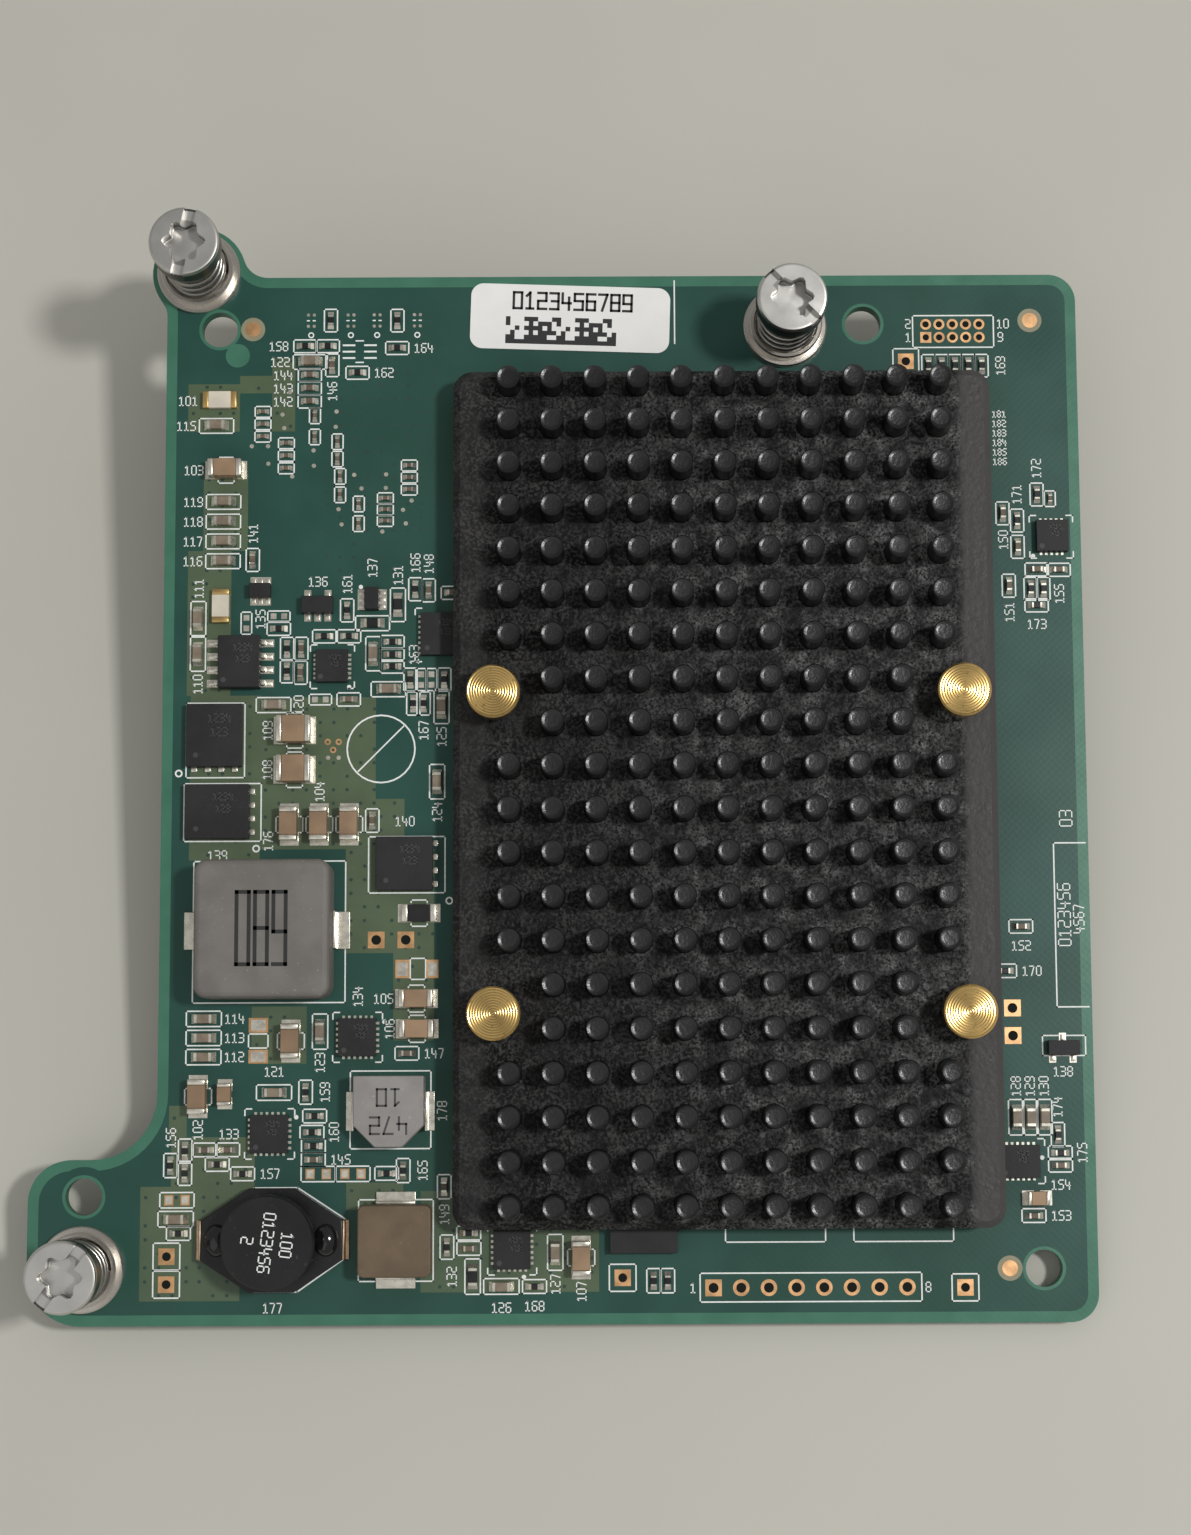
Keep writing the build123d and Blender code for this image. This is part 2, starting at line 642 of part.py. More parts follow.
def leaded_chip_body():
    """Body of the eight-leg chip."""
    return block(leaded_chip_width, leaded_chip_length, leaded_chip_height, *leaded_chip_at)


def leaded_chip_legs_group():
    """Legs along both long sides of the eight-leg chip."""
    leg = gull_leg(leg_width, leg_reach, leg_foot, leg_exit, leg_sheet)
    side_x = leaded_chip_width / 2
    first = -leg_pitch * (leaded_chip_leg_count - 1) / 2
    legs = []
    for half in (0, 180):
        for index in range(leaded_chip_leg_count):
            place = Pos(*leaded_chip_at) * Rot(0, 0, half) * Pos(side_x, first + leg_pitch * index)
            legs.append(place * leg)
    return group(legs)


def transistor_bodies():
    """Flat power packages."""
    return group(block(width, depth, transistor_height, *at) for at, width, depth, _ in power_transistors)


def transistor_leads_group():
    """Short leads that show along one side of each power package."""
    lead = block(transistor_lead_reach, transistor_lead_width, transistor_lead_sheet, 0, 0)
    leads = []
    for at, width, depth, side in power_transistors:
        turn = -90 if side == "lower" else 0
        half = depth / 2 if side == "lower" else width / 2
        lead_x = half + transistor_lead_reach / 2
        first = -leg_pitch * (transistor_lead_count - 1) / 2
        for index in range(transistor_lead_count):
            leads.append(Pos(*at) * Rot(0, 0, turn) * Pos(lead_x, first + leg_pitch * index) * lead)
    return group(leads)


def small_package_bodies():
    """Bodies of the small leaded packages."""
    return group(block(row[1], row[2], small_package_height, *row[0]) for row in small_packages)


def small_package_legs():
    """Flat legs of the small leaded packages."""
    legs = []
    for at, width, depth, near, far, pitch, along_x in small_packages:
        half = width / 2 if along_x else depth / 2
        for count, turn in ((near, 90), (far, 270)):
            step = pitch * (2 if count == 2 else 1)
            first = -step * (count - 1) / 2
            for index in range(count):
                spin = Rot(0, 0, turn - 90 if along_x else turn)
                place = Pos(*at) * spin * Pos(half + small_leg_reach / 2, first + step * index)
                legs.append(place * block(small_leg_reach, small_leg_width, small_leg_sheet, 0, 0))
    return group(legs)


def flat_chip_bodies():
    """Bodies of the leadless chips."""
    return group(block(width, depth, flat_chip_height, *at) for at, width, depth in flat_chips)


def wide_chip():
    """Larger chip whose upper half lies under the heat sink."""
    return block(wide_chip_width, wide_chip_depth, wide_chip_height, *wide_chip_at)


def plain_chips(size, places):
    """Chip parts without separate ends."""
    return group(block(*size, x, y, 0, turn) for x, y, turn in places)


def chip_middles(size, places):
    """Middle blocks of chip parts with metal ends."""
    length = size[0] * (1 - 2 * terminal_share)
    return group(block(length, size[1], size[2], x, y, 0, turn) for x, y, turn in places)


def chip_ends(size, places):
    """Metal ends of chip parts, face to face with the middle blocks."""
    length = size[0] * terminal_share
    offset = (size[0] - length) / 2
    ends = []
    for x, y, turn in places:
        for side in (-1, 1):
            end = block(length, size[1], size[2], side * offset, 0)
            ends.append(Pos(x, y) * Rot(0, 0, turn) * end)
    return group(ends)


nodes = {
    "circuit_board": circuit_board(),
    "heat_sink": heat_sink(),
    "thermal_pad": thermal_pad(),
    "controller_chip": controller_chip(),
    "push_pins": group(push_pin(*point) for point in push_pin_points),
    "push_pin_springs": group(push_pin_spring(*point) for point in push_pin_points),
    "ferrules": group(ferrule(*point) for point in screw_points),
    "connector_housing": connector_housing(),
    "connector_wafers": connector_wafer_stack(),
    "label": label(),
    "power_inductor_core": power_inductor_core(),
    "power_inductor_terminals": terminal_pair(
        power_inductor_at, power_inductor_width, 0, power_terminal_width,
        power_terminal_reach, power_terminal_height, power_terminal_sheet),
    "drum_inductor_core": drum_inductor_core(),
    "drum_inductor_terminals": drum_terminals(),
    "cut_inductor_core": cut_inductor_core(),
    "cut_inductor_terminals": terminal_pair(
        cut_inductor_at, cut_inductor_side, 0, cut_terminal_width,
        cut_terminal_reach, cut_terminal_height, cut_terminal_sheet),
    "square_inductor_core": square_inductor_core(),
    "square_inductor_terminals": terminal_pair(
        square_inductor_at, square_inductor_depth, 90, square_terminal_width,
        square_terminal_reach, square_terminal_height, square_terminal_sheet),
    "power_transistor_bodies": transistor_bodies(),
    "power_transistor_leads": transistor_leads_group(),
    "leaded_chip_body": leaded_chip_body(),
    "leaded_chip_legs": leaded_chip_legs_group(),
    "small_package_bodies": small_package_bodies(),
    "small_package_legs": small_package_legs(),
    "flat_chips": flat_chip_bodies(),
    "wide_chip": wide_chip(),
    "capacitor_1210_bodies": chip_middles(capacitor_1210_size, capacitors_1210),
    "capacitor_1210_ends": chip_ends(capacitor_1210_size, capacitors_1210),
    "capacitor_1206_bodies": chip_middles(capacitor_1206_size, capacitors_1206),
    "capacitor_1206_ends": chip_ends(capacitor_1206_size, capacitors_1206),
    "capacitor_0805_bodies": chip_middles(capacitor_0805_size, capacitors_0805),
    "capacitor_0805_ends": chip_ends(capacitor_0805_size, capacitors_0805),
    "capacitors_0603": plain_chips(capacitor_0603_size, capacitors_0603),
    "capacitors_0402": plain_chips(capacitor_0402_size, capacitors_0402),
    "capacitors_0201": plain_chips(capacitor_0201_size, capacitors_0201),
    "resistors_0603": plain_chips(resistor_0603_size, resistors_0603),
    "resistors_0402": plain_chips(resistor_0402_size, resistors_0402),
    "sense_resistor_body": chip_middles(sense_resistor_size, sense_resistors),
    "sense_resistor_ends": chip_ends(sense_resistor_size, sense_resistors),
    "fuse_bodies": chip_middles(fuse_size, fuses),
    "fuse_ends": chip_ends(fuse_size, fuses),
}
for number, point in enumerate(screw_points, start=1):
    nodes[f"captive_screw_{number}"] = captive_screw(*point)
    nodes[f"captive_spring_{number}"] = captive_spring(*point)

os.makedirs("parts", exist_ok=True)
for name, shape in nodes.items():
    export_step(shape, f"parts/{name}.step")
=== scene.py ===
import json
import logging
import math
from contextlib import contextmanager
from dataclasses import dataclass, field, replace
from enum import Enum
from functools import partial, reduce
from typing import Callable, Iterable, Iterator, Sequence, Union

import bpy
from mathutils import Matrix, Vector


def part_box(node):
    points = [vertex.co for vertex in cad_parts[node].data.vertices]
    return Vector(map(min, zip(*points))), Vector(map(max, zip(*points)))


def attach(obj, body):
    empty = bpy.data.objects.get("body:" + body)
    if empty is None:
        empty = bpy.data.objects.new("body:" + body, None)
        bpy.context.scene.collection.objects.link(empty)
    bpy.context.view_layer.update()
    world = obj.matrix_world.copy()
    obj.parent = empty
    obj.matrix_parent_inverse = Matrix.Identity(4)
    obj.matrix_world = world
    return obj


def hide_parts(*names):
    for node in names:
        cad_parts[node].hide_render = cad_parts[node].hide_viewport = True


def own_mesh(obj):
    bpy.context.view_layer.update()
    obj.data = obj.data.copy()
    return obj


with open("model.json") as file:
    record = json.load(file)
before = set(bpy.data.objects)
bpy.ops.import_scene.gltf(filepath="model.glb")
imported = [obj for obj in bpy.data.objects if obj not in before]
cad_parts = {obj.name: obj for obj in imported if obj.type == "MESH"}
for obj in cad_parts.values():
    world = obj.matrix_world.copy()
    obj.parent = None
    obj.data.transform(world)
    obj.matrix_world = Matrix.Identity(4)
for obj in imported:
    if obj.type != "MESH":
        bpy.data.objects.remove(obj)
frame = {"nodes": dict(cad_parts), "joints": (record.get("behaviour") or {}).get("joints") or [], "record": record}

Color = tuple[float, float, float]
Point = tuple[float, float]
Number = Union[float, "Shade"]
Box = tuple[Vector, Vector]
FaceTest = Callable[[bpy.types.MeshPolygon], bool]

MM: float = 0.001
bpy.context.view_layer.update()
CLOUD_STEP: Point = (0.3, 0.7)
FACING: float = 0.9
MERGE: float = 1e-6
log = logging.getLogger("mezzanine_card")


class Body(Enum):
    """The bodies that pieces ride on."""

    CARD = "root"
    SCREW = "screw_{}"

    def name_for(self, number: int) -> str:
        """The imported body's name for a screw's number."""
        return self.value.format(number)


class Side(Enum):
    """The board's two faces, as the direction that they look in."""

    TOP = 1
    BOTTOM = -1


class Lie(Enum):
    """How a chip part lies on the board."""

    ACROSS = 0
    UPRIGHT = 1


class Shade:
    """A shader socket that takes part in Python arithmetic."""

    def __init__(self, graph: "Graph", socket: bpy.types.NodeSocket) -> None:
        """Wraps one output socket.

        Args:
            graph: The node graph that holds the socket.
            socket: The output socket.
        """
        self.graph = graph
        self.socket = socket

    def _math(self, operation: str, first: Number, second: Number) -> "Shade":
        """Adds one Math node.

        Args:
            operation: The Math node's operation.
            first: Its first value.
            second: Its second value.

        Returns:
            The node's result.
        """
        return self.graph.node("ShaderNodeMath", {"operation": operation}, {0: first, 1: second})

    def __add__(self, other: Number) -> "Shade":
        """Sum."""
        return self._math("ADD", self, other)

    __radd__ = __add__

    def __sub__(self, other: Number) -> "Shade":
        """Difference."""
        return self._math("SUBTRACT", self, other)

    def __rsub__(self, other: Number) -> "Shade":
        """Difference from a plain number."""
        return self._math("SUBTRACT", other, self)

    def __mul__(self, other: Number) -> "Shade":
        """Product."""
        return self._math("MULTIPLY", self, other)

    __rmul__ = __mul__

    def __truediv__(self, other: Number) -> "Shade":
        """Quotient."""
        return self._math("DIVIDE", self, other)

    def sine(self) -> "Shade":
        """Sine of the value."""
        return self._math("SINE", self, 0.0)

    def root(self) -> "Shade":
        """Square root of the value."""
        return self._math("SQRT", self, 0.0)

    def least(self, other: "Shade") -> "Shade":
        """The lesser of two values."""
        return self._math("MINIMUM", self, other)

    def step(self, low: float, high: float) -> "Shade":
        """A smooth ramp from 0 at low to 1 at high.

        Args:
            low: Where the ramp starts.
            high: Where the ramp ends.

        Returns:
            The ramp's value.
        """
        settings = {"interpolation_type": "SMOOTHSTEP"}
        return self.graph.node("ShaderNodeMapRange", settings, {0: self, 1: low, 2: high, 3: 0.0, 4: 1.0})


class Graph:
    """The node graph of one material."""

    def __init__(self, name: str) -> None:
        """Starts a material with one shader.

        Args:
            name: The material's name.
        """
        self.material = bpy.data.materials.new(name)
        self.material.use_nodes = True
        self.tree = self.material.node_tree
        self.shader = self.tree.nodes["Principled BSDF"]
        self.position = Shade(self, self.tree.nodes.new("ShaderNodeTexCoord").outputs["Object"])

    def node(self, kind: str, settings: dict, inputs: dict, output: Union[int, str] = 0) -> Shade:
        """Adds any node.

        Args:
            kind: The node's type.
            settings: Attributes that are set before the sockets.
            inputs: Values or links by socket index or name.
            output: The output socket that is returned.

        Returns:
            The chosen output.
        """
        made = self.tree.nodes.new(kind)
        for key, value in settings.items():
            setattr(made, key, value)
        for key, value in inputs.items():
            self.feed(made.inputs[key], value)
        return Shade(self, made.outputs[output])

    def feed(self, socket: bpy.types.NodeSocket, value: object) -> None:
        """Links or sets one socket.

        Args:
            socket: The input socket.
            value: A Shade to link, or a plain value.
        """
        if isinstance(value, Shade):
            self.tree.links.new(value.socket, socket)
        elif socket.type == "RGBA" and len(value) == 3:
            socket.default_value = (*value, 1.0)
        else:
            socket.default_value = value

    def set(self, **values: object) -> None:
        """Feeds the shader's sockets, named with underscores for spaces.

        Args:
            values: Shades or plain values by socket name.
        """
        for key, value in values.items():
            self.feed(self.shader.inputs[key.replace("_", " ")], value)

    def noise(self, scale: float, detail: float = 3.0) -> Shade:
        """Cloudy noise on the piece's own coordinates.

        Args:
            scale: Features per metre.
            detail: Octaves of finer noise.

        Returns:
            The noise value from 0 to 1.
        """
        inputs = {"Vector": self.position, "Scale": scale, "Detail": detail}
        return self.node("ShaderNodeTexNoise", {}, inputs)

    def mix(self, share: Number, first: object, second: object) -> Shade:
        """Mixes two colours.

        Args:
            share: How much of the second colour shows.
            first: The colour at share 0.
            second: The colour at share 1.

        Returns:
            The mixed colour.
        """
        inputs = {0: share, 6: first, 7: second}
        return self.node("ShaderNodeMix", {"data_type": "RGBA"}, inputs, 2)

    def bump(self, height: Shade, strength: float, distance: float) -> Shade:
        """Turns a height into a surface normal.

        Args:
            height: The height value.
            strength: The bump's strength.
            distance: The height of 1 in metres.

        Returns:
            The normal.
        """
        inputs = {"Strength": strength, "Distance": distance, "Height": height}
        return self.node("ShaderNodeBump", {}, inputs)

    def axis(self, index: int) -> Shade:
        """One of the piece's own coordinates.

        Args:
            index: 0 for X, 1 for Y, 2 for Z.

        Returns:
            The coordinate in metres.
        """
        return self.node("ShaderNodeSeparateXYZ", {}, {0: self.position}, index)


def tint(color: Color, factor: float) -> Color:
    """A lighter or darker shade of a colour.

    Args:
        color: The colour.
        factor: What each channel is multiplied by.

    Returns:
        The new colour.
    """
    return tuple(min(1.0, channel * factor) for channel in color)


@dataclass(frozen=True)
class Finish:
    """A surface with cloudy tone, uneven gloss and fine relief."""

    name: str
    slot: str
    color: Color
    roughness: float
    metallic: float = 0.0
    tone: float = 0.12
    tone_scale: float = 350.0
    gloss_change: float = 0.08
    relief: float = 0.15
    relief_scale: float = 4000.0
    relief_height: float = 0.02
    coat: float = 0.0
    coat_roughness: float = 0.15
    specular: float = 0.5

    def material(self) -> bpy.types.Material:
        """The finish's material, made once.

        Returns:
            The material.
        """
        found = bpy.data.materials.get(self.name)
        if found:
            return found
        graph = Graph(self.name)
        graph.set(Roughness=self.roughness, Metallic=self.metallic, Specular_IOR_Level=self.specular,
                  Coat_Weight=self.coat, Coat_Roughness=self.coat_roughness)
        self.shade(graph)
        return graph.material

    def shade(self, graph: Graph) -> None:
        """Adds what changes over the surface.

        Args:
            graph: The material's graph.
        """
        cloud = graph.noise(self.tone_scale)
        color = self.clouded(graph, cloud.step(*CLOUD_STEP))
        self.dress(graph, color, cloud, graph.noise(self.relief_scale, 2.0))

    def clouded(self, graph: Graph, share: Shade) -> Shade:
        """The colour, darker at share 0 and lighter at share 1.

        Args:
            graph: The material's graph.
            share: The share of the lighter tone.

        Returns:
            The colour.
        """
        return graph.mix(share, tint(self.color, 1 - self.tone), tint(self.color, 1 + self.tone))

    def dress(self, graph: Graph, color: Shade, cloud: Shade, height: Shade) -> None:
        """Feeds colour, uneven gloss and relief to the shader.

        Args:
            graph: The material's graph.
            color: The colour.
            cloud: The noise that the gloss follows.
            height: The relief's height.
        """
        gloss = self.roughness + (cloud - 0.5) * (2 * self.gloss_change)
        normal = graph.bump(height, self.relief, self.relief_height * MM)
        graph.set(Base_Color=color, Roughness=gloss, Normal=normal)


@dataclass(frozen=True)
class SpeckledFinish(Finish):
    """A dark coat with small pale specks and pits."""

    speck_color: Color = (0.16, 0.16, 0.165)
    speck_scale: float = 1500.0
    speck_edge: float = 0.66
    speck_blend: float = 0.08
    drift_ratio: float = 0.08
    drift_step: Point = (0.35, 0.65)
    drift_least: float = 0.15
    drift_most: float = 0.65

    def ground(self, graph: Graph, cloud: Shade) -> Shade:
        """The cloudy colour below the specks.

        Args:
            graph: The material's graph.
            cloud: The slow noise.

        Returns:
            The colour.
        """
        return self.clouded(graph, cloud.step(*CLOUD_STEP))

    def shade(self, graph: Graph) -> None:
        """Adds specks over the plain surface.

        Args:
            graph: The material's graph.
        """
        cloud = graph.noise(self.tone_scale)
        grain = graph.noise(self.relief_scale, 3.0)
        speck = graph.noise(self.speck_scale, 2.0).step(self.speck_edge, self.speck_edge + self.speck_blend)
        drift = graph.noise(self.speck_scale * self.drift_ratio).step(*self.drift_step)
        share = drift * (self.drift_most - self.drift_least) + self.drift_least
        color = graph.mix(speck * share, self.ground(graph, cloud), self.speck_color)
        self.dress(graph, color, cloud, grain)


@dataclass(frozen=True)
class PlateFinish(SpeckledFinish):
    """A dark casting with dust, with painted light that makes it paler on its margins left and right of the pin
    field.
    """

    # The paler colour of the painted light on the margins, and its share at the left margin.
    painted_light_margin_color: Color = (0.068, 0.064, 0.063)
    dust_color: Color = (0.150, 0.148, 0.146)
    dust_scale: float = 520.0
    dust_step: Point = (0.38, 0.70)
    dust_least: float = 0.2
    grain_ratio: float = 1.4
    grain_step: Point = (0.36, 0.70)
    left_light_share: float = 0.2
    field_edges: tuple[float, float] = (0.0, 1.0)
    blend: float = 1.2

    def ground(self, graph: Graph, cloud: Shade) -> Shade:
        """The cloudy colour with patches of dust, and painted light that makes it paler outside the pin field.

        Args:
            graph: The material's graph.
            cloud: The slow noise.

        Returns:
            The colour.
        """
        patch = graph.noise(self.dust_scale, 3.0).step(*self.dust_step)
        grain = graph.noise(self.speck_scale * self.grain_ratio, 2.0).step(*self.grain_step)
        across = graph.axis(0) / MM
        low, high = self.field_edges
        # The dust share rises from near the pin field's left edge to just past its middle, so the plate is darker
        # at the left.
        dust_ramp = across.step(low + 3.0, (low + high) / 2 + 4.0) * (1 - self.dust_least) + self.dust_least
        base = graph.mix(patch * grain * dust_ramp, super().ground(graph, cloud), self.dust_color)
        # Painted light: outside the pin field the colour is mixed towards a paler one, fully at the right margin
        # and weakly at the left.
        right = across.step(high, high + self.blend)
        left = (low - across).step(0.0, self.blend) * self.left_light_share
        return graph.mix((right + left) * (cloud * 0.8 + 0.6), base, self.painted_light_margin_color)


@dataclass(frozen=True)
class BoardFinish(Finish):
    """Solder mask over laminate or copper, with a faint weave below it."""

    patch_color: Color = (0.10, 0.20, 0.12)
    patch_share: float = 0.0
    patch_scale: float = 45.0
    patch_step: Point = (0.46, 0.62)
    weave_scale: float = 9000.0
    weave_share: float = 0.3

    def shade(self, graph: Graph) -> None:
        """Adds a faint weave and patches of another tone.

        Args:
            graph: The material's graph.
        """
        cloud = graph.noise(self.tone_scale)
        patch = graph.noise(self.patch_scale, 1.0).step(*self.patch_step) * self.patch_share
        weave = (graph.axis(0) * self.weave_scale).sine() * (graph.axis(1) * self.weave_scale).sine()
        color = graph.mix(patch, self.clouded(graph, cloud.step(*CLOUD_STEP)), self.patch_color)
        height = weave * self.weave_share + graph.noise(self.relief_scale, 2.0)
        self.dress(graph, color, cloud, height)


@dataclass(frozen=True)
class TurnedFinish(Finish):
    """Metal turned on a lathe, with rings about an axis on each piece."""

    centers: tuple[Point, ...] = ((0.0, 0.0),)
    ring_pitch: float = 0.09
    ring_share: float = 0.25
    ring_step: Point = (0.2, 0.9)
    # Where shade is painted into a recess: from its floor up to its top, within its radius, darkened by its tint.
    recess_floor: float = 0.0
    recess_top: float = 0.0
    recess_radius: float = 2.2
    recess_shade_tint: float = 0.22
    # Where shade is painted down the sides: below this height and beyond this radius, darkened by its tint.
    side_shade_top: float = 0.0
    side_shade_radius: float = 3.0
    side_shade_tint: float = 0.15
    pits: float = 0.0
    pit_scale: float = 2200.0
    pit_tint: float = 0.7
    wander: float = 3.0
    wander_scale: float = 2500.0

    def shade(self, graph: Graph) -> None:
        """Adds fine rings about the nearest axis, painted shade in the recess and down the sides, and pits.

        Args:
            graph: The material's graph.
        """
        distances = []
        for x, y in self.centers:
            across = graph.axis(0) - x * MM
            along = graph.axis(1) - y * MM
            distances.append((across * across + along * along).root())
        nearest = reduce(Shade.least, distances) / MM
        wander = graph.noise(self.wander_scale, 2.0) * self.wander
        rings = (nearest * (2 * math.pi / self.ring_pitch) + wander).sine()
        cloud = graph.noise(self.tone_scale)
        color = self.clouded(graph, (rings * self.ring_share + cloud).step(*self.ring_step))
        height = graph.axis(2) / MM
        # Painted shade: the recess is darkened most at its floor and less towards its rim.
        if self.recess_top:
            painted_recess_shade = 1.0 - height.step(self.recess_floor, self.recess_top)
            above = height.step(self.recess_floor - 0.3, self.recess_floor - 0.2)
            inside = 1.0 - nearest.step(self.recess_radius - 0.1, self.recess_radius)
            color = graph.mix(painted_recess_shade * above * inside, color, tint(self.color, self.recess_shade_tint))
        # Painted shade and reflection: the sides below the top, outside the recess, are darkened to stand for the
        # dark surroundings that the metal mirrors.
        if self.side_shade_top:
            outside = nearest.step(self.side_shade_radius, self.side_shade_radius + 0.1)
            lower = 1.0 - height.step(self.side_shade_top - 0.3, self.side_shade_top)
            color = graph.mix(lower * outside, color, tint(self.color, self.side_shade_tint))
        if self.pits:
            pitted = graph.noise(self.pit_scale, 1.0).step(self.pits, self.pits + 0.05)
            color = graph.mix(pitted, color, tint(self.color, self.pit_tint))
        self.dress(graph, color, cloud, rings)


MASK_EDGE = BoardFinish("mask_over_laminate", "solder_mask", (0.045, 0.165, 0.105), 0.32, tone=0.06)
MASK_POUR = BoardFinish(
    "mask_over_copper", "solder_mask", (0.017, 0.072, 0.055), 0.34, tone=0.10, tone_scale=120.0,
    patch_color=(0.026, 0.078, 0.052), patch_share=0.25, specular=0.35)
MASK_OLIVE = BoardFinish(
    "mask_over_inner_copper", "solder_mask", (0.084, 0.121, 0.063), 0.32, tone=0.08, tone_scale=200.0,
    patch_color=(0.05, 0.10, 0.065), patch_share=0.3)
MASK_VIA = Finish("mask_over_vias", "solder_mask", (0.022, 0.055, 0.042), 0.35, tone=0.1)
LAMINATE = Finish("bare_laminate", "solder_mask", (0.26, 0.24, 0.15), 0.45, tone=0.1)
SINK_BLACK = SpeckledFinish(
    "cast_black_pins", "cast_black", (0.004, 0.004, 0.0045), 0.31, tone=0.25, relief=0.6, relief_scale=3200.0,
    relief_height=0.045, gloss_change=0.06, specular=0.65, speck_color=(0.03, 0.03, 0.03))
# Dust and painted light: the plate's finish also paints light onto its margins outside the pin field.
SINK_DUST_AND_LIGHT = PlateFinish(
    "cast_black_dust_and_painted_light", "cast_black", (0.004, 0.004, 0.004), 0.50, tone=0.6, tone_scale=500.0, relief=1.0,
    relief_scale=1700.0, relief_height=0.12, gloss_change=0.25, specular=0.16,
    speck_color=(0.060, 0.058, 0.056), speck_scale=3300.0, speck_edge=0.50)
PAD_GREY = Finish("thermal_pad_grey", "pad_grey", (0.30, 0.31, 0.33), 0.8)
MOULD_BLACK = SpeckledFinish(
    "moulded_black", "mould_black", (0.018, 0.018, 0.018), 0.58, tone=0.2, speck_color=(0.07, 0.07, 0.07),
    speck_scale=5000.0, relief=0.3, specular=0.35)
MOULD_MARK = Finish("moulded_mark", "mould_black", (0.045, 0.045, 0.044), 0.6)
DRUM_BLACK = SpeckledFinish(
    "drum_black", "mould_black", (0.008, 0.008, 0.009), 0.30, tone=0.2, speck_color=(0.07, 0.07, 0.07),
    speck_scale=2500.0)
VARNISH = Finish(
    "black_varnish", "mould_black", (0.008, 0.008, 0.008), 0.10, tone=0.1, coat=0.6, relief=0.25,
    relief_scale=900.0, relief_height=0.15)
SPRING = Finish("spring_wire", "spring_steel", (0.38, 0.36, 0.33), 0.28, 1.0)
TIN = Finish("tin_plate", "tin", (0.90, 0.84, 0.72), 0.27, 0.92, tone=0.14, tone_scale=1200.0, relief=0.3)
TIN_DULL = Finish("tin_tarnished", "tin", (0.60, 0.44, 0.30), 0.32, 1.0, tone=0.2, tone_scale=900.0)
CERAMIC = Finish("fired_ceramic", "ceramic_tan", (0.285, 0.182, 0.103), 0.5, tone=0.22, tone_scale=260.0)
CERAMIC_GREY = Finish(
    "fired_ceramic_grey", "ceramic_tan", (0.21, 0.165, 0.115), 0.5, tone=0.18, tone_scale=900.0)
CERAMIC_DARK = Finish(
    "fired_ceramic_dark", "ceramic_tan", (0.13, 0.095, 0.065), 0.5, tone=0.2, tone_scale=900.0)
FERRITE_GREY = SpeckledFinish(
    "pressed_grey", "ferrite_grey", (0.160, 0.148, 0.132), 0.62, tone=0.10, speck_color=(0.34, 0.33, 0.32),
    speck_scale=3000.0, relief=0.3, relief_height=0.03)
FERRITE_PALE = SpeckledFinish(
    "pressed_pale", "ferrite_grey", (0.26, 0.245, 0.23), 0.6, tone=0.10, speck_color=(0.42, 0.41, 0.40),
    speck_scale=3000.0, relief=0.3, relief_height=0.03)
FERRITE_BROWN = SpeckledFinish(
    "pressed_brown", "ferrite_brown", (0.130, 0.088, 0.048), 0.55, tone=0.15, speck_color=(0.28, 0.22, 0.15),
    speck_scale=2500.0, relief=0.3, relief_height=0.03)
RESISTOR_BLACK = Finish("resistor_glaze", "resistor_black", (0.014, 0.014, 0.015), 0.28)
FUSE_WHITE = Finish("fuse_ceramic", "fuse_white", (0.62, 0.56, 0.45), 0.5)
GOLD = Finish("gold_plate", "gold", (0.80, 0.55, 0.22), 0.3, 1.0)
PAPER = Finish("label_paper", "paper", (0.80, 0.79, 0.76), 0.6, tone=0.02, relief=0.1)
INK_WHITE = Finish("silk_ink", "paper", (0.80, 0.82, 0.78), 0.6, tone=0.06, tone_scale=2500.0)
INK_GREY = Finish("inductor_ink", "mould_black", (0.06, 0.058, 0.055), 0.6)
INK_BLACK = Finish("label_ink", "mould_black", (0.02, 0.02, 0.02), 0.6)
COPPER_PAD = Finish("copper_pad", "gold", (0.78, 0.45, 0.22), 0.35, 0.85, tone=0.15, tone_scale=900.0)
# Painted shade: dark discs that lie over the plated holes.
HOLE_SHADE = Finish("hole_shadow", "mould_black", (0.01, 0.012, 0.01), 0.7, specular=0.1)
DRESSED: list[tuple[str, Finish, float]] = [
    ("power_inductor_core", FERRITE_GREY, 0.25), ("power_inductor_terminals", TIN, 0.08),
    ("drum_inductor_terminals", TIN_DULL, 0.05),
    ("cut_inductor_core", FERRITE_PALE, 0.15), ("cut_inductor_terminals", TIN, 0.06),
    ("square_inductor_core", FERRITE_BROWN, 0.15), ("square_inductor_terminals", TIN, 0.06),
    ("power_transistor_bodies", MOULD_BLACK, 0.06), ("power_transistor_leads", TIN, 0.03),
    ("leaded_chip_body", MOULD_BLACK, 0.08), ("leaded_chip_legs", TIN, 0.03),
    ("small_package_bodies", MOULD_BLACK, 0.06), ("small_package_legs", TIN, 0.02),
    ("flat_chips", MOULD_BLACK, 0.04), ("wide_chip", MOULD_BLACK, 0.05),
    ("controller_chip", MOULD_BLACK, 0.1), ("thermal_pad", PAD_GREY, 0.05),
    ("capacitor_1210_bodies", CERAMIC, 0.08), ("capacitor_1210_ends", TIN, 0.10),
    ("capacitor_1206_bodies", CERAMIC, 0.08), ("capacitor_1206_ends", TIN, 0.10),
    ("capacitor_0805_bodies", CERAMIC, 0.06), ("capacitor_0805_ends", TIN, 0.08),
    ("sense_resistor_body", RESISTOR_BLACK, 0.04), ("sense_resistor_ends", TIN, 0.05),
    ("fuse_bodies", FUSE_WHITE, 0.04), ("fuse_ends", GOLD, 0.05),
    ("connector_housing", MOULD_BLACK, 0.15), ("connector_wafers", MOULD_BLACK, 0.05),
    ("label", PAPER, 0.02),
]


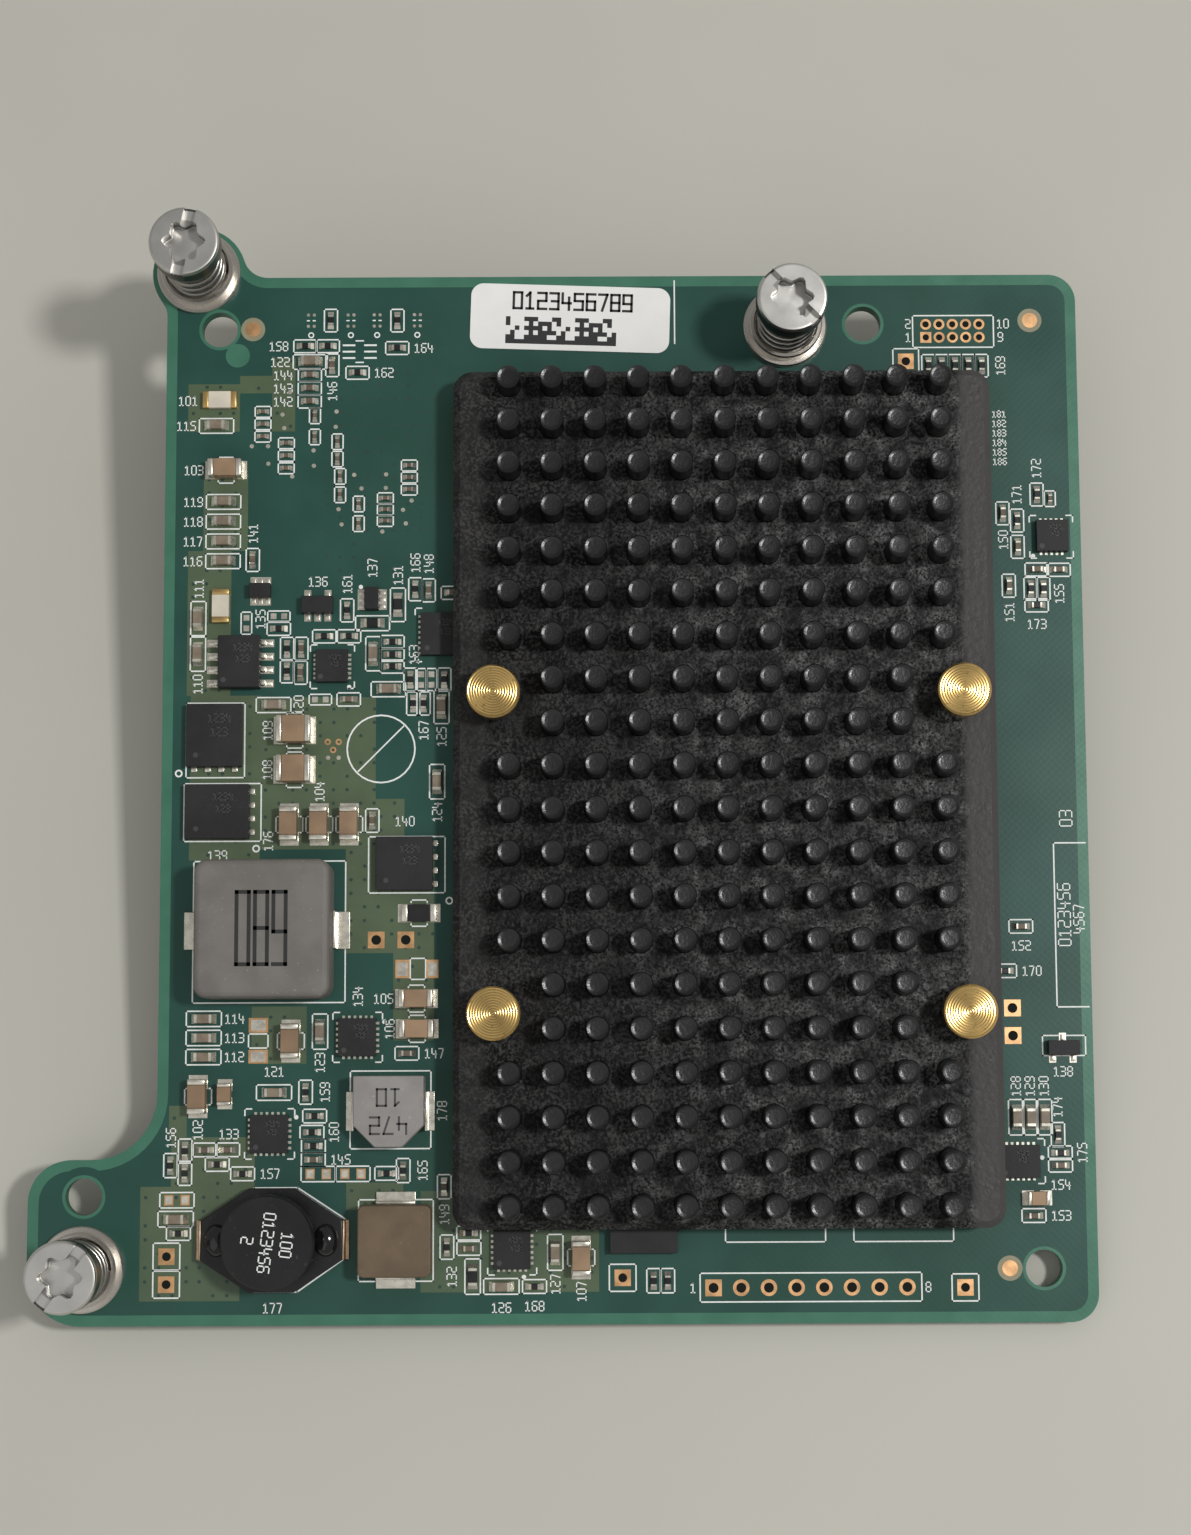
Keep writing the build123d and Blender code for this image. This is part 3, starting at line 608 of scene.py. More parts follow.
class Workshop:
    """Modelling steps that the sub-assemblies share."""

    @staticmethod
    def clear() -> None:
        """Leaves edit mode and deselects everything."""
        if bpy.context.object and bpy.context.object.mode != "OBJECT":
            bpy.ops.object.mode_set(mode="OBJECT")
        bpy.ops.object.select_all(action="DESELECT")

    @staticmethod
    def take(piece: bpy.types.Object) -> None:
        """Makes one object the only selected and active one.

        Args:
            piece: The object.
        """
        Workshop.clear()
        piece.select_set(True)
        bpy.context.view_layer.objects.active = piece

    @staticmethod
    @contextmanager
    def editing(action: str = "") -> Iterator[None]:
        """Edit mode on the active object's faces, left at the end of the block.

        Args:
            action: SELECT or DESELECT for all faces, or nothing to keep the selection.

        Yields:
            Nothing.
        """
        bpy.ops.object.mode_set(mode="EDIT")
        bpy.ops.mesh.select_mode(type="FACE")
        if action:
            bpy.ops.mesh.select_all(action=action)
        yield
        bpy.ops.object.mode_set(mode="OBJECT")

    @staticmethod
    def pick(piece: bpy.types.Object, wanted: FaceTest) -> None:
        """Selects some of the active object's faces and nothing else.

        Args:
            piece: The active object.
            wanted: Which faces are selected.
        """
        with Workshop.editing("DESELECT"):
            pass
        for face in piece.data.polygons:
            face.select = wanted(face)

    @staticmethod
    def named(name: str) -> bpy.types.Object:
        """Names the active object and settles its place into its mesh.

        Args:
            name: The piece's name.

        Returns:
            The object.
        """
        piece = bpy.context.object
        piece.name = name
        piece.data.name = name
        Workshop.take(piece)
        bpy.ops.object.transform_apply(location=True, rotation=True, scale=True)
        return piece

    @staticmethod
    def modify(piece: bpy.types.Object, kind: str, **settings: object) -> None:
        """Adds one modifier and applies it.

        Args:
            piece: The object.
            kind: The modifier's type.
            settings: Its settings.
        """
        Workshop.take(piece)
        modifier = piece.modifiers.new(kind.lower(), kind)
        for key, value in settings.items():
            setattr(modifier, key, value)
        bpy.ops.object.modifier_apply(modifier=modifier.name)

    @staticmethod
    def smooth(piece: bpy.types.Object, angle: float = 35.0) -> None:
        """Smooth shading up to an angle, with large faces kept flat.

        Args:
            piece: The object.
            angle: The sharpest smooth edge in degrees.
        """
        Workshop.take(piece)
        bpy.ops.object.shade_smooth_by_angle(angle=math.radians(angle))
        Workshop.modify(piece, "WEIGHTED_NORMAL", keep_sharp=True)

    @staticmethod
    def bevel(piece: bpy.types.Object, width: float, segments: int = 2) -> None:
        """Rounds the sharp edges.

        Args:
            piece: The object.
            width: The bevel's width in millimetres.
            segments: Faces across the bevel.
        """
        Workshop.modify(piece, "BEVEL", width=width * MM, segments=segments, limit_method="ANGLE",
                        angle_limit=math.radians(40), use_clamp_overlap=True)

    @staticmethod
    def box(name: str, low: Sequence[float], high: Sequence[float]) -> bpy.types.Object:
        """A block between two corners in metres.

        Args:
            name: The piece's name.
            low: Its lowest corner.
            high: Its highest corner.

        Returns:
            The object.
        """
        low, high = Vector(low), Vector(high)
        Workshop.clear()
        bpy.ops.mesh.primitive_cube_add(size=1.0, location=(low + high) / 2)
        bpy.context.object.scale = high - low
        return Workshop.named(name)

    @staticmethod
    def lathe(name: str, profile: Sequence[Point], at: Point = (0.0, 0.0), sides: int = 48) -> bpy.types.Object:
        """A turned piece, raised ring by ring from its lowest face.

        Args:
            name: The piece's name.
            profile: Radius and height pairs in millimetres, first a rising stretch.
            at: The axis in millimetres.
            sides: Faces round the axis.

        Returns:
            The object.
        """
        (first, bottom), (second, top) = profile[0], profile[1]
        Workshop.clear()
        place = (at[0] * MM, at[1] * MM, (bottom + top) / 2 * MM)
        bpy.ops.mesh.primitive_cone_add(
            vertices=sides, radius1=first * MM, radius2=second * MM, depth=(top - bottom) * MM, location=place)
        piece = Workshop.named(name)
        highest = max(face.center.z for face in piece.data.polygons)
        Workshop.pick(piece, lambda face: face.center.z == highest)
        with Workshop.editing():
            for radius, height in profile[2:]:
                bpy.ops.mesh.extrude_region_move(TRANSFORM_OT_translate={"value": (0, 0, (height - top) * MM)})
                share = radius / second
                center = (at[0] * MM, at[1] * MM, height * MM)
                bpy.ops.transform.resize(value=(share, share, 1.0), center_override=center)
                second, top = radius, height
        Workshop.smooth(piece)
        return piece

    @staticmethod
    def unit(name: str) -> bpy.types.Object:
        """A block of 1 m that stands on the origin, to be stamped to size.

        Args:
            name: The block's name.

        Returns:
            The object.
        """
        return Workshop.box(name, (-0.5, -0.5, 0), (0.5, 0.5, 1))

    @staticmethod
    def copied(node: str, name: str) -> bpy.types.Object:
        """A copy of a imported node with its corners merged, made the active object.

        Args:
            node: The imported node.
            name: The copy's name.

        Returns:
            The copy.
        """
        piece = bpy.data.objects.new(name, frame["nodes"][node].data.copy())
        bpy.context.scene.collection.objects.link(piece)
        Workshop.take(piece)
        with Workshop.editing("SELECT"):
            bpy.ops.mesh.remove_doubles(threshold=MERGE)
        return piece

    @staticmethod
    def refined(node: str, name: str, edge: float) -> bpy.types.Object:
        """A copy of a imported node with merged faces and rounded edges.

        Args:
            node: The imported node.
            name: The copy's name.
            edge: The edges' bevel in millimetres.

        Returns:
            The copy.
        """
        piece = Workshop.copied(node, name)
        with Workshop.editing("SELECT"):
            bpy.ops.mesh.dissolve_limited(angle_limit=math.radians(1.0))
        Workshop.bevel(piece, edge)
        Workshop.smooth(piece)
        return piece

    @staticmethod
    def trimmed(node: str, name: str, drop: FaceTest) -> bpy.types.Object:
        """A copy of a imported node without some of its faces.

        Args:
            node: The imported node.
            name: The copy's name.
            drop: Which faces are taken away.

        Returns:
            The copy, open where the faces were.
        """
        piece = Workshop.copied(node, name)
        Workshop.pick(piece, drop)
        with Workshop.editing():
            bpy.ops.mesh.delete(type="FACE")
        return piece

    @staticmethod
    def foot(node: str, name: str, height: float, edge: float) -> bpy.types.Object:
        """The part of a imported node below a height, with rounded edges.

        Args:
            node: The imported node.
            name: The copy's name.
            height: The height in metres.
            edge: The edges' bevel in millimetres.

        Returns:
            The copy, open where the upper faces were.
        """
        piece = Workshop.trimmed(node, name, lambda face: face.center.z > height)
        Workshop.bevel(piece, edge)
        Workshop.smooth(piece)
        return piece

    @staticmethod
    def join(name: str, pieces: Sequence[bpy.types.Object]) -> bpy.types.Object:
        """Joins objects into one.

        Args:
            name: The joined piece's name.
            pieces: The objects.

        Returns:
            The joined object.
        """
        Workshop.clear()
        for piece in pieces:
            piece.select_set(True)
        bpy.context.view_layer.objects.active = pieces[0]
        if len(pieces) > 1:
            bpy.ops.object.join()
        return Workshop.named(name)

    @staticmethod
    def stamp(name: str, model: bpy.types.Object, places: Iterable[Matrix]) -> bpy.types.Object:
        """Copies a model to each place and joins the copies.

        Args:
            name: The joined piece's name.
            model: The object that is copied, and removed at the end.
            places: Where each copy goes.

        Returns:
            The joined object.
        """
        copies = []
        for place in places:
            mesh = model.data.copy()
            mesh.transform(place)
            copy = bpy.data.objects.new(name, mesh)
            bpy.context.scene.collection.objects.link(copy)
            copies.append(copy)
        bpy.data.objects.remove(model)
        return Workshop.join(name, copies)

    @staticmethod
    def fit(piece: bpy.types.Object, finish: Finish, body: str = Body.CARD.value,
            stands_for: Sequence[str] = ()) -> None:
        """Gives a piece its finish and its place in the assembly.

        Args:
            piece: The object.
            finish: Its finish.
            body: The body that it rides on.
            stands_for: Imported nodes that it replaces.
        """
        piece.data.materials.clear()
        piece.data.materials.append(finish.material())
        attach(piece, body)
        if stands_for:
            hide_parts(*stands_for)
        log.info("%s: %d faces", piece.name, len(piece.data.polygons))


def islands(node: str, keep: FaceTest = lambda face: True) -> list[Box]:
    """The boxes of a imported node's separate pieces.

    Args:
        node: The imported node.
        keep: Which faces count.

    Returns:
        The lowest and highest corner of each piece, in metres.
    """
    mesh = frame["nodes"][node].data
    owner: dict[tuple, tuple] = {}

    def root(key: tuple) -> tuple:
        """The first corner of the piece that a corner belongs to."""
        while owner[key] != key:
            owner[key] = owner[owner[key]]
            key = owner[key]
        return key

    for face in filter(keep, mesh.polygons):
        keys = [tuple(round(value * 1e6) for value in mesh.vertices[i].co) for i in face.vertices]
        for key in keys:
            owner.setdefault(key, key)
        for key in keys[1:]:
            owner[root(key)] = root(keys[0])
    boxes: dict[tuple, list[Vector]] = {}
    for key in owner:
        point = Vector(key) * 1e-6
        low, high = boxes.setdefault(root(key), [point.copy(), point.copy()])
        boxes[root(key)] = [Vector(map(min, low, point)), Vector(map(max, high, point))]
    return [tuple(box) for _, box in sorted(boxes.items())]


def middle(box: Box) -> Vector:
    """The centre of a box."""
    return (box[0] + box[1]) / 2


def laid(node: str) -> Iterator[tuple[Point, Vector]]:
    """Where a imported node's separate pieces lie on the board.

    Args:
        node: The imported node.

    Yields:
        Each piece's middle seen from above, and its size, in millimetres.
    """
    for low, high in islands(node):
        center = middle((low, high)) / MM
        yield (center.x, center.y), (high - low) / MM


def bores() -> list[Point]:
    """The places of the record's free holes.

    Returns:
        Their middles seen from above, in millimetres.
    """
    mounts = [mount["pos_m"] for mount in frame["record"]["mounts"] if mount["kind"] == "bore"]
    return [(x / MM, y / MM) for x, y, _ in mounts]


def spanned(x0: float, y0: float, x1: float, y1: float) -> tuple[Point, float, float]:
    """A rectangle's middle, width and depth.

    Args:
        x0: Its left edge.
        y0: Its lower edge.
        x1: Its right edge.
        y1: Its upper edge.

    Returns:
        The three values, in the unit of the edges.
    """
    return ((x0 + x1) / 2, (y0 + y1) / 2), x1 - x0, y1 - y0


def moves(points: Iterable[Point]) -> list[Matrix]:
    """The moves from the origin to points on the board.

    Args:
        points: The points in millimetres.

    Returns:
        One matrix for each point.
    """
    return [Matrix.Translation((x * MM, y * MM, 0)) for x, y in points]


@dataclass
class HeatSink:
    """The casting with its plate and its field of round pins."""

    pin_diameter: float = 2.15
    pin_sides: int = 16
    pin_edge: float = 0.10
    pin_root: float = 0.12
    dish_depth: float = 0.09
    dish_width: float = 0.26
    plate_edge: float = 0.25
    field_margin: float = 1.5

    def build(self) -> None:
        """Models the plate and the pins, and dresses them."""
        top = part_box("heat_sink")[1].z
        pins = islands("heat_sink", lambda face: face.normal.z > FACING and face.center.z > top - 0.1 * MM)
        base = self.plate_top(top)
        radius = self.pin_diameter / 2
        height = (top - base) / MM
        dish = radius - self.pin_edge - self.dish_width
        profile = [
            (radius + self.pin_root, -0.05), (radius + 0.02, self.pin_root), (radius, height - self.pin_edge),
            (radius - self.pin_edge, height), (dish, height - self.dish_depth),
            (dish - 0.03, height - 1.02 * self.dish_depth), (0.3 * radius, height - 1.15 * self.dish_depth)]
        model = Workshop.lathe("pin_model", profile, sides=self.pin_sides)
        Workshop.smooth(model, 25.0)
        places = [Matrix.Translation((middle(pin).x, middle(pin).y, base)) for pin in pins]
        Workshop.fit(Workshop.stamp("heat_sink_pins", model, places), SINK_BLACK)
        plate = Workshop.foot("heat_sink", "heat_sink_plate", base + 0.05 * MM, self.plate_edge)
        across = [middle(pin).x / MM for pin in pins]
        edges = (min(across) - self.field_margin, max(across) + self.field_margin)
        Workshop.fit(plate, replace(SINK_DUST_AND_LIGHT, field_edges=edges), stands_for=["heat_sink"])

    def plate_top(self, top: float) -> float:
        """The height of the plate's upper face.

        Args:
            top: The pins' height.

        Returns:
            The height in metres.
        """
        mesh = frame["nodes"]["heat_sink"].data
        return max(vertex.co.z for vertex in mesh.vertices if vertex.co.z < top - 0.5 * MM)


@dataclass
class PushPins:
    """Brass pins that hold the heat sink down, with their springs."""

    head_diameter: float = 4.9
    head_edge: float = 0.14
    rim: float = 0.15
    groove_pitch: float = 0.24
    groove_depth: float = 0.034
    tip_radius: float = 0.7
    barb_radius: float = 1.7
    barb_length: float = 2.2
    barb_taper: float = 1.0
    shank_radius: float = 1.0
    spring_edge: float = 0.08
    sides: int = 48

    def build(self) -> None:
        """Models one pin, copies it and dresses the pins and springs."""
        centers = tuple(center for center, _ in laid("push_pins"))
        model = Workshop.lathe("push_pin_model", self.profile(), sides=self.sides)
        pins = Workshop.stamp("push_pins_turned", model, moves(centers))
        brass = TurnedFinish(
            "turned_brass", "brass", (0.80, 0.54, 0.20), 0.22, 1.0, tone=0.12, relief=0.1, relief_height=0.003,
            centers=centers, pits=0.66)
        Workshop.fit(pins, brass, stands_for=["push_pins"])
        springs = Workshop.refined("push_pin_springs", "push_pin_springs_wire", self.spring_edge)
        Workshop.fit(springs, SPRING, stands_for=["push_pin_springs"])

    def profile(self) -> list[Point]:
        """The pin's outline from the barbed tip to the grooved head.

        Returns:
            Radius and height pairs in millimetres.
        """
        low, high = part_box("push_pins")
        tip, top = low.z / MM, high.z / MM
        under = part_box("push_pin_springs")[1].z / MM
        barb = tip + self.barb_length
        head = self.head_diameter / 2
        face = head - self.head_edge
        points = [
            (self.tip_radius, tip), (self.barb_radius, tip + self.barb_taper), (self.barb_radius, barb),
            (self.shank_radius, barb), (self.shank_radius, under), (face, under),
            (head, under + self.head_edge), (head, top - self.head_edge), (face, top)]
        for index in range(int((face - self.rim) / self.groove_pitch)):
            outer = face - index * self.groove_pitch
            for quarter, share in ((1, 0.5), (2, 1.0), (3, 0.5), (4, 0.0)):
                points.append((outer - quarter / 4 * self.groove_pitch, top - share * self.groove_depth))
        return points + [(0.05, top - self.groove_depth)]


@dataclass
class CaptiveScrew:
    """One spring-loaded screw with its spring."""

    number: int
    slot_turn: float = 0.0
    slot_width: float = 1.15
    slot_depth: float = 0.8
    recess_radius: float = 1.75
    recess_depth: float = 1.7
    recess_lobe: float = 0.16
    head_radius: float = 3.25
    head_height: float = 2.4
    head_edge: float = 0.35
    cut_edge: float = 0.06
    shank_radius: float = 1.2
    thread_radius: float = 1.5
    thread_root: float = 1.25
    thread_length: float = 2.4
    thread_pitch: float = 0.5
    wire: float = 0.55
    wire_sides: int = 12
    turns: float = 4.5
    turn_steps: int = 28
    sides: int = 64

    def __post_init__(self) -> None:
        """Reads the screw's box from the frame."""
        self.low, self.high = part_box(f"captive_screw_{self.number}")
        center = middle((self.low, self.high)) / MM
        self.axis = (center.x, center.y)

    def build(self) -> None:
        """Models and dresses the screw and its spring."""
        top = self.high.z / MM
        # The nickel finish paints shade into the recess and down the head's sides.
        nickel = TurnedFinish(
            f"turned_nickel_{self.number}", "nickel", (0.70, 0.68, 0.64), 0.36, 1.0, tone=0.10, relief=0.2,
            relief_height=0.006, centers=(self.axis,), recess_floor=top - 1.3, recess_top=top - 0.15,
            side_shade_top=top - 0.3)
        body = Body.SCREW.name_for(self.number)
        Workshop.fit(self.screw(), nickel, body, [f"captive_screw_{self.number}"])
        spring = self.spring()
        Workshop.fit(spring, SPRING, stands_for=[f"captive_spring_{self.number}"])
        low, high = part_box(f"captive_spring_{self.number}")
        press = f"screw_{self.number}_press"
        travel = -next(joint for joint in frame["joints"] if joint["name"] == press)["range_m"][0]
        1 - travel / (high.z - low.z)
        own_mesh(spring)

    def screw(self) -> bpy.types.Object:
        """The screw with its recess, slot and thread.

        Returns:
            The object.
        """
        top, end = self.high.z / MM, self.low.z / MM
        under = top - self.head_height
        head, edge, shank = self.head_radius, self.head_edge, self.shank_radius
        start = end + 0.25
        profile = [(1.1, end), (self.thread_root, start)]
        for index in range(int((self.thread_length - 0.3) / self.thread_pitch)):
            height = start + index * self.thread_pitch
            profile += [(self.thread_radius, height + 0.2), (self.thread_radius, height + 0.26),
                        (self.thread_root, height + self.thread_pitch)]
        profile += [
            (shank, end + self.thread_length), (shank, under), (head - 0.25, under), (head, under + 0.2),
            (head, top - edge), (head - edge * 0.4, top - edge * 0.15), (head - edge, top)]
        screw = Workshop.lathe("screw_model", profile, self.axis, self.sides)
        for cutter in (self.star(top), self.slot(top)):
            Workshop.modify(screw, "BOOLEAN", operation="DIFFERENCE", object=cutter, solver="EXACT")
            bpy.data.objects.remove(cutter)
        Workshop.bevel(screw, self.cut_edge)
        Workshop.smooth(screw, 30.0)
        screw.name = f"captive_screw_turned_{self.number}"
        return screw

    def star(self, top: float) -> bpy.types.Object:
        """The cutter of the six-lobe recess.

        Args:
            top: The head's height in millimetres.

        Returns:
            The cutter.
        """
        Workshop.clear()
        above = 0.7
        place = Vector((*self.axis, top + (above - self.recess_depth) / 2)) * MM
        bpy.ops.mesh.primitive_cylinder_add(
            vertices=36, radius=self.recess_radius * MM, depth=(self.recess_depth + above) * MM, location=place)
        piece = Workshop.named("recess_cutter")
        for vertex in piece.data.vertices:
            offset = vertex.co.xy - place.xy
            share = 1 + self.recess_lobe * math.cos(6 * math.atan2(offset.y, offset.x))
            vertex.co.xy = place.xy + offset * share
        return piece

    def slot(self, top: float) -> bpy.types.Object:
        """The cutter of the slot.

        Args:
            top: The head's height in millimetres.

        Returns:
            The cutter.
        """
        reach, half = self.head_radius + 0.75, self.slot_width / 2
        low = Vector((-reach, -half, top - self.slot_depth)) * MM
        high = Vector((reach, half, top + 0.5)) * MM
        piece = Workshop.box("slot_cutter", low, high)
        turn = Matrix.Rotation(math.radians(self.slot_turn), 4, "Z")
        piece.data.transform(moves([self.axis])[0] @ turn)
        return piece

    def spring(self) -> bpy.types.Object:
        """A coil of round wire between ferrule and head.

        Returns:
            The object.
        """
        low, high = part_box(f"captive_spring_{self.number}")
        radius = (high.x - low.x) / 2 - self.wire / 2 * MM
        rise = high.z - low.z - self.wire * MM
        Workshop.clear()
        bpy.ops.mesh.primitive_circle_add(
            vertices=self.wire_sides, radius=self.wire / 2 * MM, fill_type="NGON", rotation=(math.pi / 2, 0, 0),
            location=(radius, 0, low.z + self.wire / 2 * MM))
        piece = Workshop.named(f"captive_spring_wire_{self.number}")
        steps = int(self.turns * self.turn_steps)
        Workshop.modify(piece, "SCREW", angle=2 * math.pi * self.turns, screw_offset=rise, axis="Z",
                        steps=steps, render_steps=steps, use_merge_vertices=True)
        piece.data.transform(moves([self.axis])[0])
        Workshop.take(piece)
        with Workshop.editing("SELECT"):
            bpy.ops.mesh.normals_make_consistent(inside=False)
        Workshop.smooth(piece, 60.0)
        return piece


@dataclass
class Ferrules:
    """Turned cups in the board that hold screws and springs."""

    flange: float = 3.95
    flange_height: float = 0.7
    cup: float = 3.45
    wall: float = 0.45
    neck: float = 2.45
    bore: float = 1.4
    floor: float = 0.5
    edge: float = 0.12
    sides: int = 64

    def build(self) -> None:
        """Models one cup, copies it and dresses the cups."""
        low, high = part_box("ferrules")
        bottom, top = low.z / MM, high.z / MM
        edge, rise, inner = self.edge, self.flange_height, self.cup - self.wall
        profile = [
            (self.neck - edge, bottom), (self.neck, bottom + edge), (self.neck, 0.0), (self.flange, 0.0),
            (self.flange, rise - edge), (self.flange - edge, rise), (self.cup, rise), (self.cup, top - edge),
            (self.cup - edge, top), (inner + edge / 2, top), (inner, top - edge), (inner, self.floor),
            (self.bore, self.floor), (self.bore, 0.1)]
        model = Workshop.lathe("ferrule_model", profile, sides=self.sides)
        centers = tuple(center for center, _ in laid("ferrules"))
        cups = Workshop.stamp("ferrules_turned", model, moves(centers))
        plate = TurnedFinish(
            "turned_ferrule", "nickel", (0.70, 0.655, 0.59), 0.28, 1.0, tone=0.08, relief=0.2,
            relief_height=0.006, centers=centers)
        Workshop.fit(cups, plate, stands_for=["ferrules"])


@dataclass
class DrumInductor:
    """The drum on its long base, with varnish over the wire ends."""

    winding_diameter: float = 7.4
    top_diameter: float = 8.55
    edge: float = 0.18
    foot_edge: float = 0.12
    sides: int = 56
    varnish: tuple[float, float, float] = (1.15, 1.5, 0.9)
    varnish_reach: float = 5.0

    def build(self) -> None:
        """Models base, drum and varnish, and dresses them."""
        node = "drum_inductor_core"
        low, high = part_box(node)
        center, top = middle((low, high)) / MM, high.z / MM
        heights = {round(vertex.co.z / MM, 3) for vertex in frame["nodes"][node].data.vertices}
        base, shoulder = sorted(heights)[1:3]
        foot = Workshop.foot(node, "drum_base", (base + 0.05) * MM, self.foot_edge)
        winding, rim, edge = self.winding_diameter / 2, self.top_diameter / 2, self.edge
        profile = [
            (winding, base - 0.1), (winding, shoulder), (rim - edge / 2, shoulder), (rim, shoulder + edge),
            (rim, top - edge), (rim - edge, top), (0.4 * rim, top - 0.002)]
        drum = Workshop.lathe("drum_top", profile, (center.x, center.y), self.sides)
        Workshop.fit(Workshop.join("drum_inductor_turned", [foot, drum]), DRUM_BLACK, stands_for=[node])
        blobs = []
        for side in (-1, 1):
            Workshop.clear()
            place = ((center.x + side * self.varnish_reach) * MM, center.y * MM, base * MM)
            bpy.ops.mesh.primitive_uv_sphere_add(segments=24, ring_count=12, radius=MM, location=place)
            bpy.context.object.scale = self.varnish
            blobs.append(Workshop.named("varnish_blob"))
            Workshop.smooth(blobs[-1], 60.0)
        Workshop.fit(Workshop.join("drum_varnish", blobs), VARNISH)


@dataclass
class ChipBank:
    """Chip parts of one kind, each with a body and two soldered ends."""

    node: str
    body_finish: Finish
    end_share: float = 0.2
    pad_reach: float = 0.32
    pad_rise: float = 0.5
    pad_lift: float = 0.004
    edge: float = 0.05

    def build(self) -> None:
        """Models bodies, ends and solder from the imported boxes."""
        bodies, ends, solder = [], [], []
        inset = self.end_share * 0.9
        for low, high in islands(self.node):
            long_axis = 0 if high.x - low.x > high.y - low.y else 1
            bodies.append(self.part(low, high, long_axis, inset, 1 - inset, -0.02))
            ends.append(self.part(low, high, long_axis, 0.0, self.end_share, 0.0))
            ends.append(self.part(low, high, long_axis, 1 - self.end_share, 1.0, 0.0))
            solder += self.pads(low, high, long_axis)
        for kind, places, finish, nodes in (
                ("bodies", bodies, self.body_finish, [self.node]), ("ends", ends, TIN, [])):
            piece = Workshop.stamp(f"{self.node}_{kind}", Workshop.unit("chip_model"), places)
            Workshop.bevel(piece, self.edge, 1)
            Workshop.fit(piece, finish, stands_for=nodes)
        Workshop.fit(Workshop.stamp(f"{self.node}_solder", self.wedge(), solder), TIN)

    @staticmethod
    def wedge() -> bpy.types.Object:
        """A unit solder fillet that falls along +X.

        Returns:
            The model.
        """
        piece = Workshop.box("solder_model", (0, -0.5, 0), (1, 0.5, 1))
        for vertex in piece.data.vertices:
            if vertex.co.x > 0.5 and vertex.co.z > 0.5:
                vertex.co.z = 0.12
        return piece

    @staticmethod
    def part(low: Vector, high: Vector, long_axis: int, start: float, end: float, grow: float) -> Matrix:
        """The place and size of a stretch of a chip.

        Args:
            low: The chip's lowest corner.
            high: The chip's highest corner.
            long_axis: 0 where it lies along X, 1 along Y.
            start: Where the stretch starts, as a share of the length.
            end: Where the stretch ends.
            grow: How much wider and higher it is than the chip, in millimetres.

        Returns:
            The matrix for a unit block.
        """
        size = high - low
        center = (low + high) / 2
        center.z = low.z
        center[long_axis] = low[long_axis] + size[long_axis] * (start + end) / 2
        size[long_axis] *= end - start
        size[1 - long_axis] += grow * MM
        size.z += grow * MM
        return Matrix.Translation(center) @ Matrix.Diagonal((*size, 1.0))

    def pads(self, low: Vector, high: Vector, long_axis: int) -> list[Matrix]:
        """The solder fillets at a chip's two ends.

        Args:
            low: The chip's lowest corner.
            high: The chip's highest corner.
            long_axis: 0 where it lies along X, 1 along Y.

        Returns:
            The matrices for a unit fillet.
        """
        center, size = (low + high) / 2, high - low
        center.z = self.pad_lift * MM
        half = size[long_axis] / 2
        reach = min(self.pad_reach * MM, 0.6 * half)
        rise = min(0.55 * size.z, self.pad_rise * MM)
        width = 1.05 * size[1 - long_axis]
        fillet = Matrix.Translation((half, 0, 0)) @ Matrix.Diagonal((reach, width, rise, 1.0))
        turns = [turn + long_axis * math.pi / 2 for turn in (0.0, math.pi)]
        return [Matrix.Translation(center) @ Matrix.Rotation(turn, 4, "Z") @ fillet for turn in turns]


@dataclass
class CardBoard:
    """The bare board with the pale rim that its copper leaves free."""

    rim_width: float = 1.0
    rim_lift: float = 0.0025

    def build(self) -> None:
        """Dresses the board and lays the rim on both faces."""
        board = frame["nodes"]["circuit_board"]
        board.data.materials.clear()
        for finish in (MASK_EDGE, MASK_POUR):
            board.data.materials.append(finish.material())
        for face in board.data.polygons:
            face.material_index = int(abs(face.normal.z) > FACING)
        for side in Side:
            Workshop.fit(self.rim(side), MASK_EDGE)

    def rim(self, side: Side) -> bpy.types.Object:
        """A thin band along one face's edges.

        Args:
            side: The board's face.

        Returns:
            The band.
        """
        name = f"bare_rim_{side.name.lower()}"
        piece = Workshop.trimmed("circuit_board", name, lambda face: face.normal.z * side.value < FACING)
        with Workshop.editing("SELECT"):
            bpy.ops.mesh.fill_holes(sides=8)
            bpy.ops.mesh.select_all(action="SELECT")
            bpy.ops.mesh.inset(thickness=self.rim_width * MM, use_boundary=True, use_even_offset=True)
            bpy.ops.mesh.delete(type="FACE")
        piece.data.transform(Matrix.Translation((0, 0, side.value * self.rim_lift * MM)))
        for face in piece.data.polygons:
            face.material_index = 0
        return piece


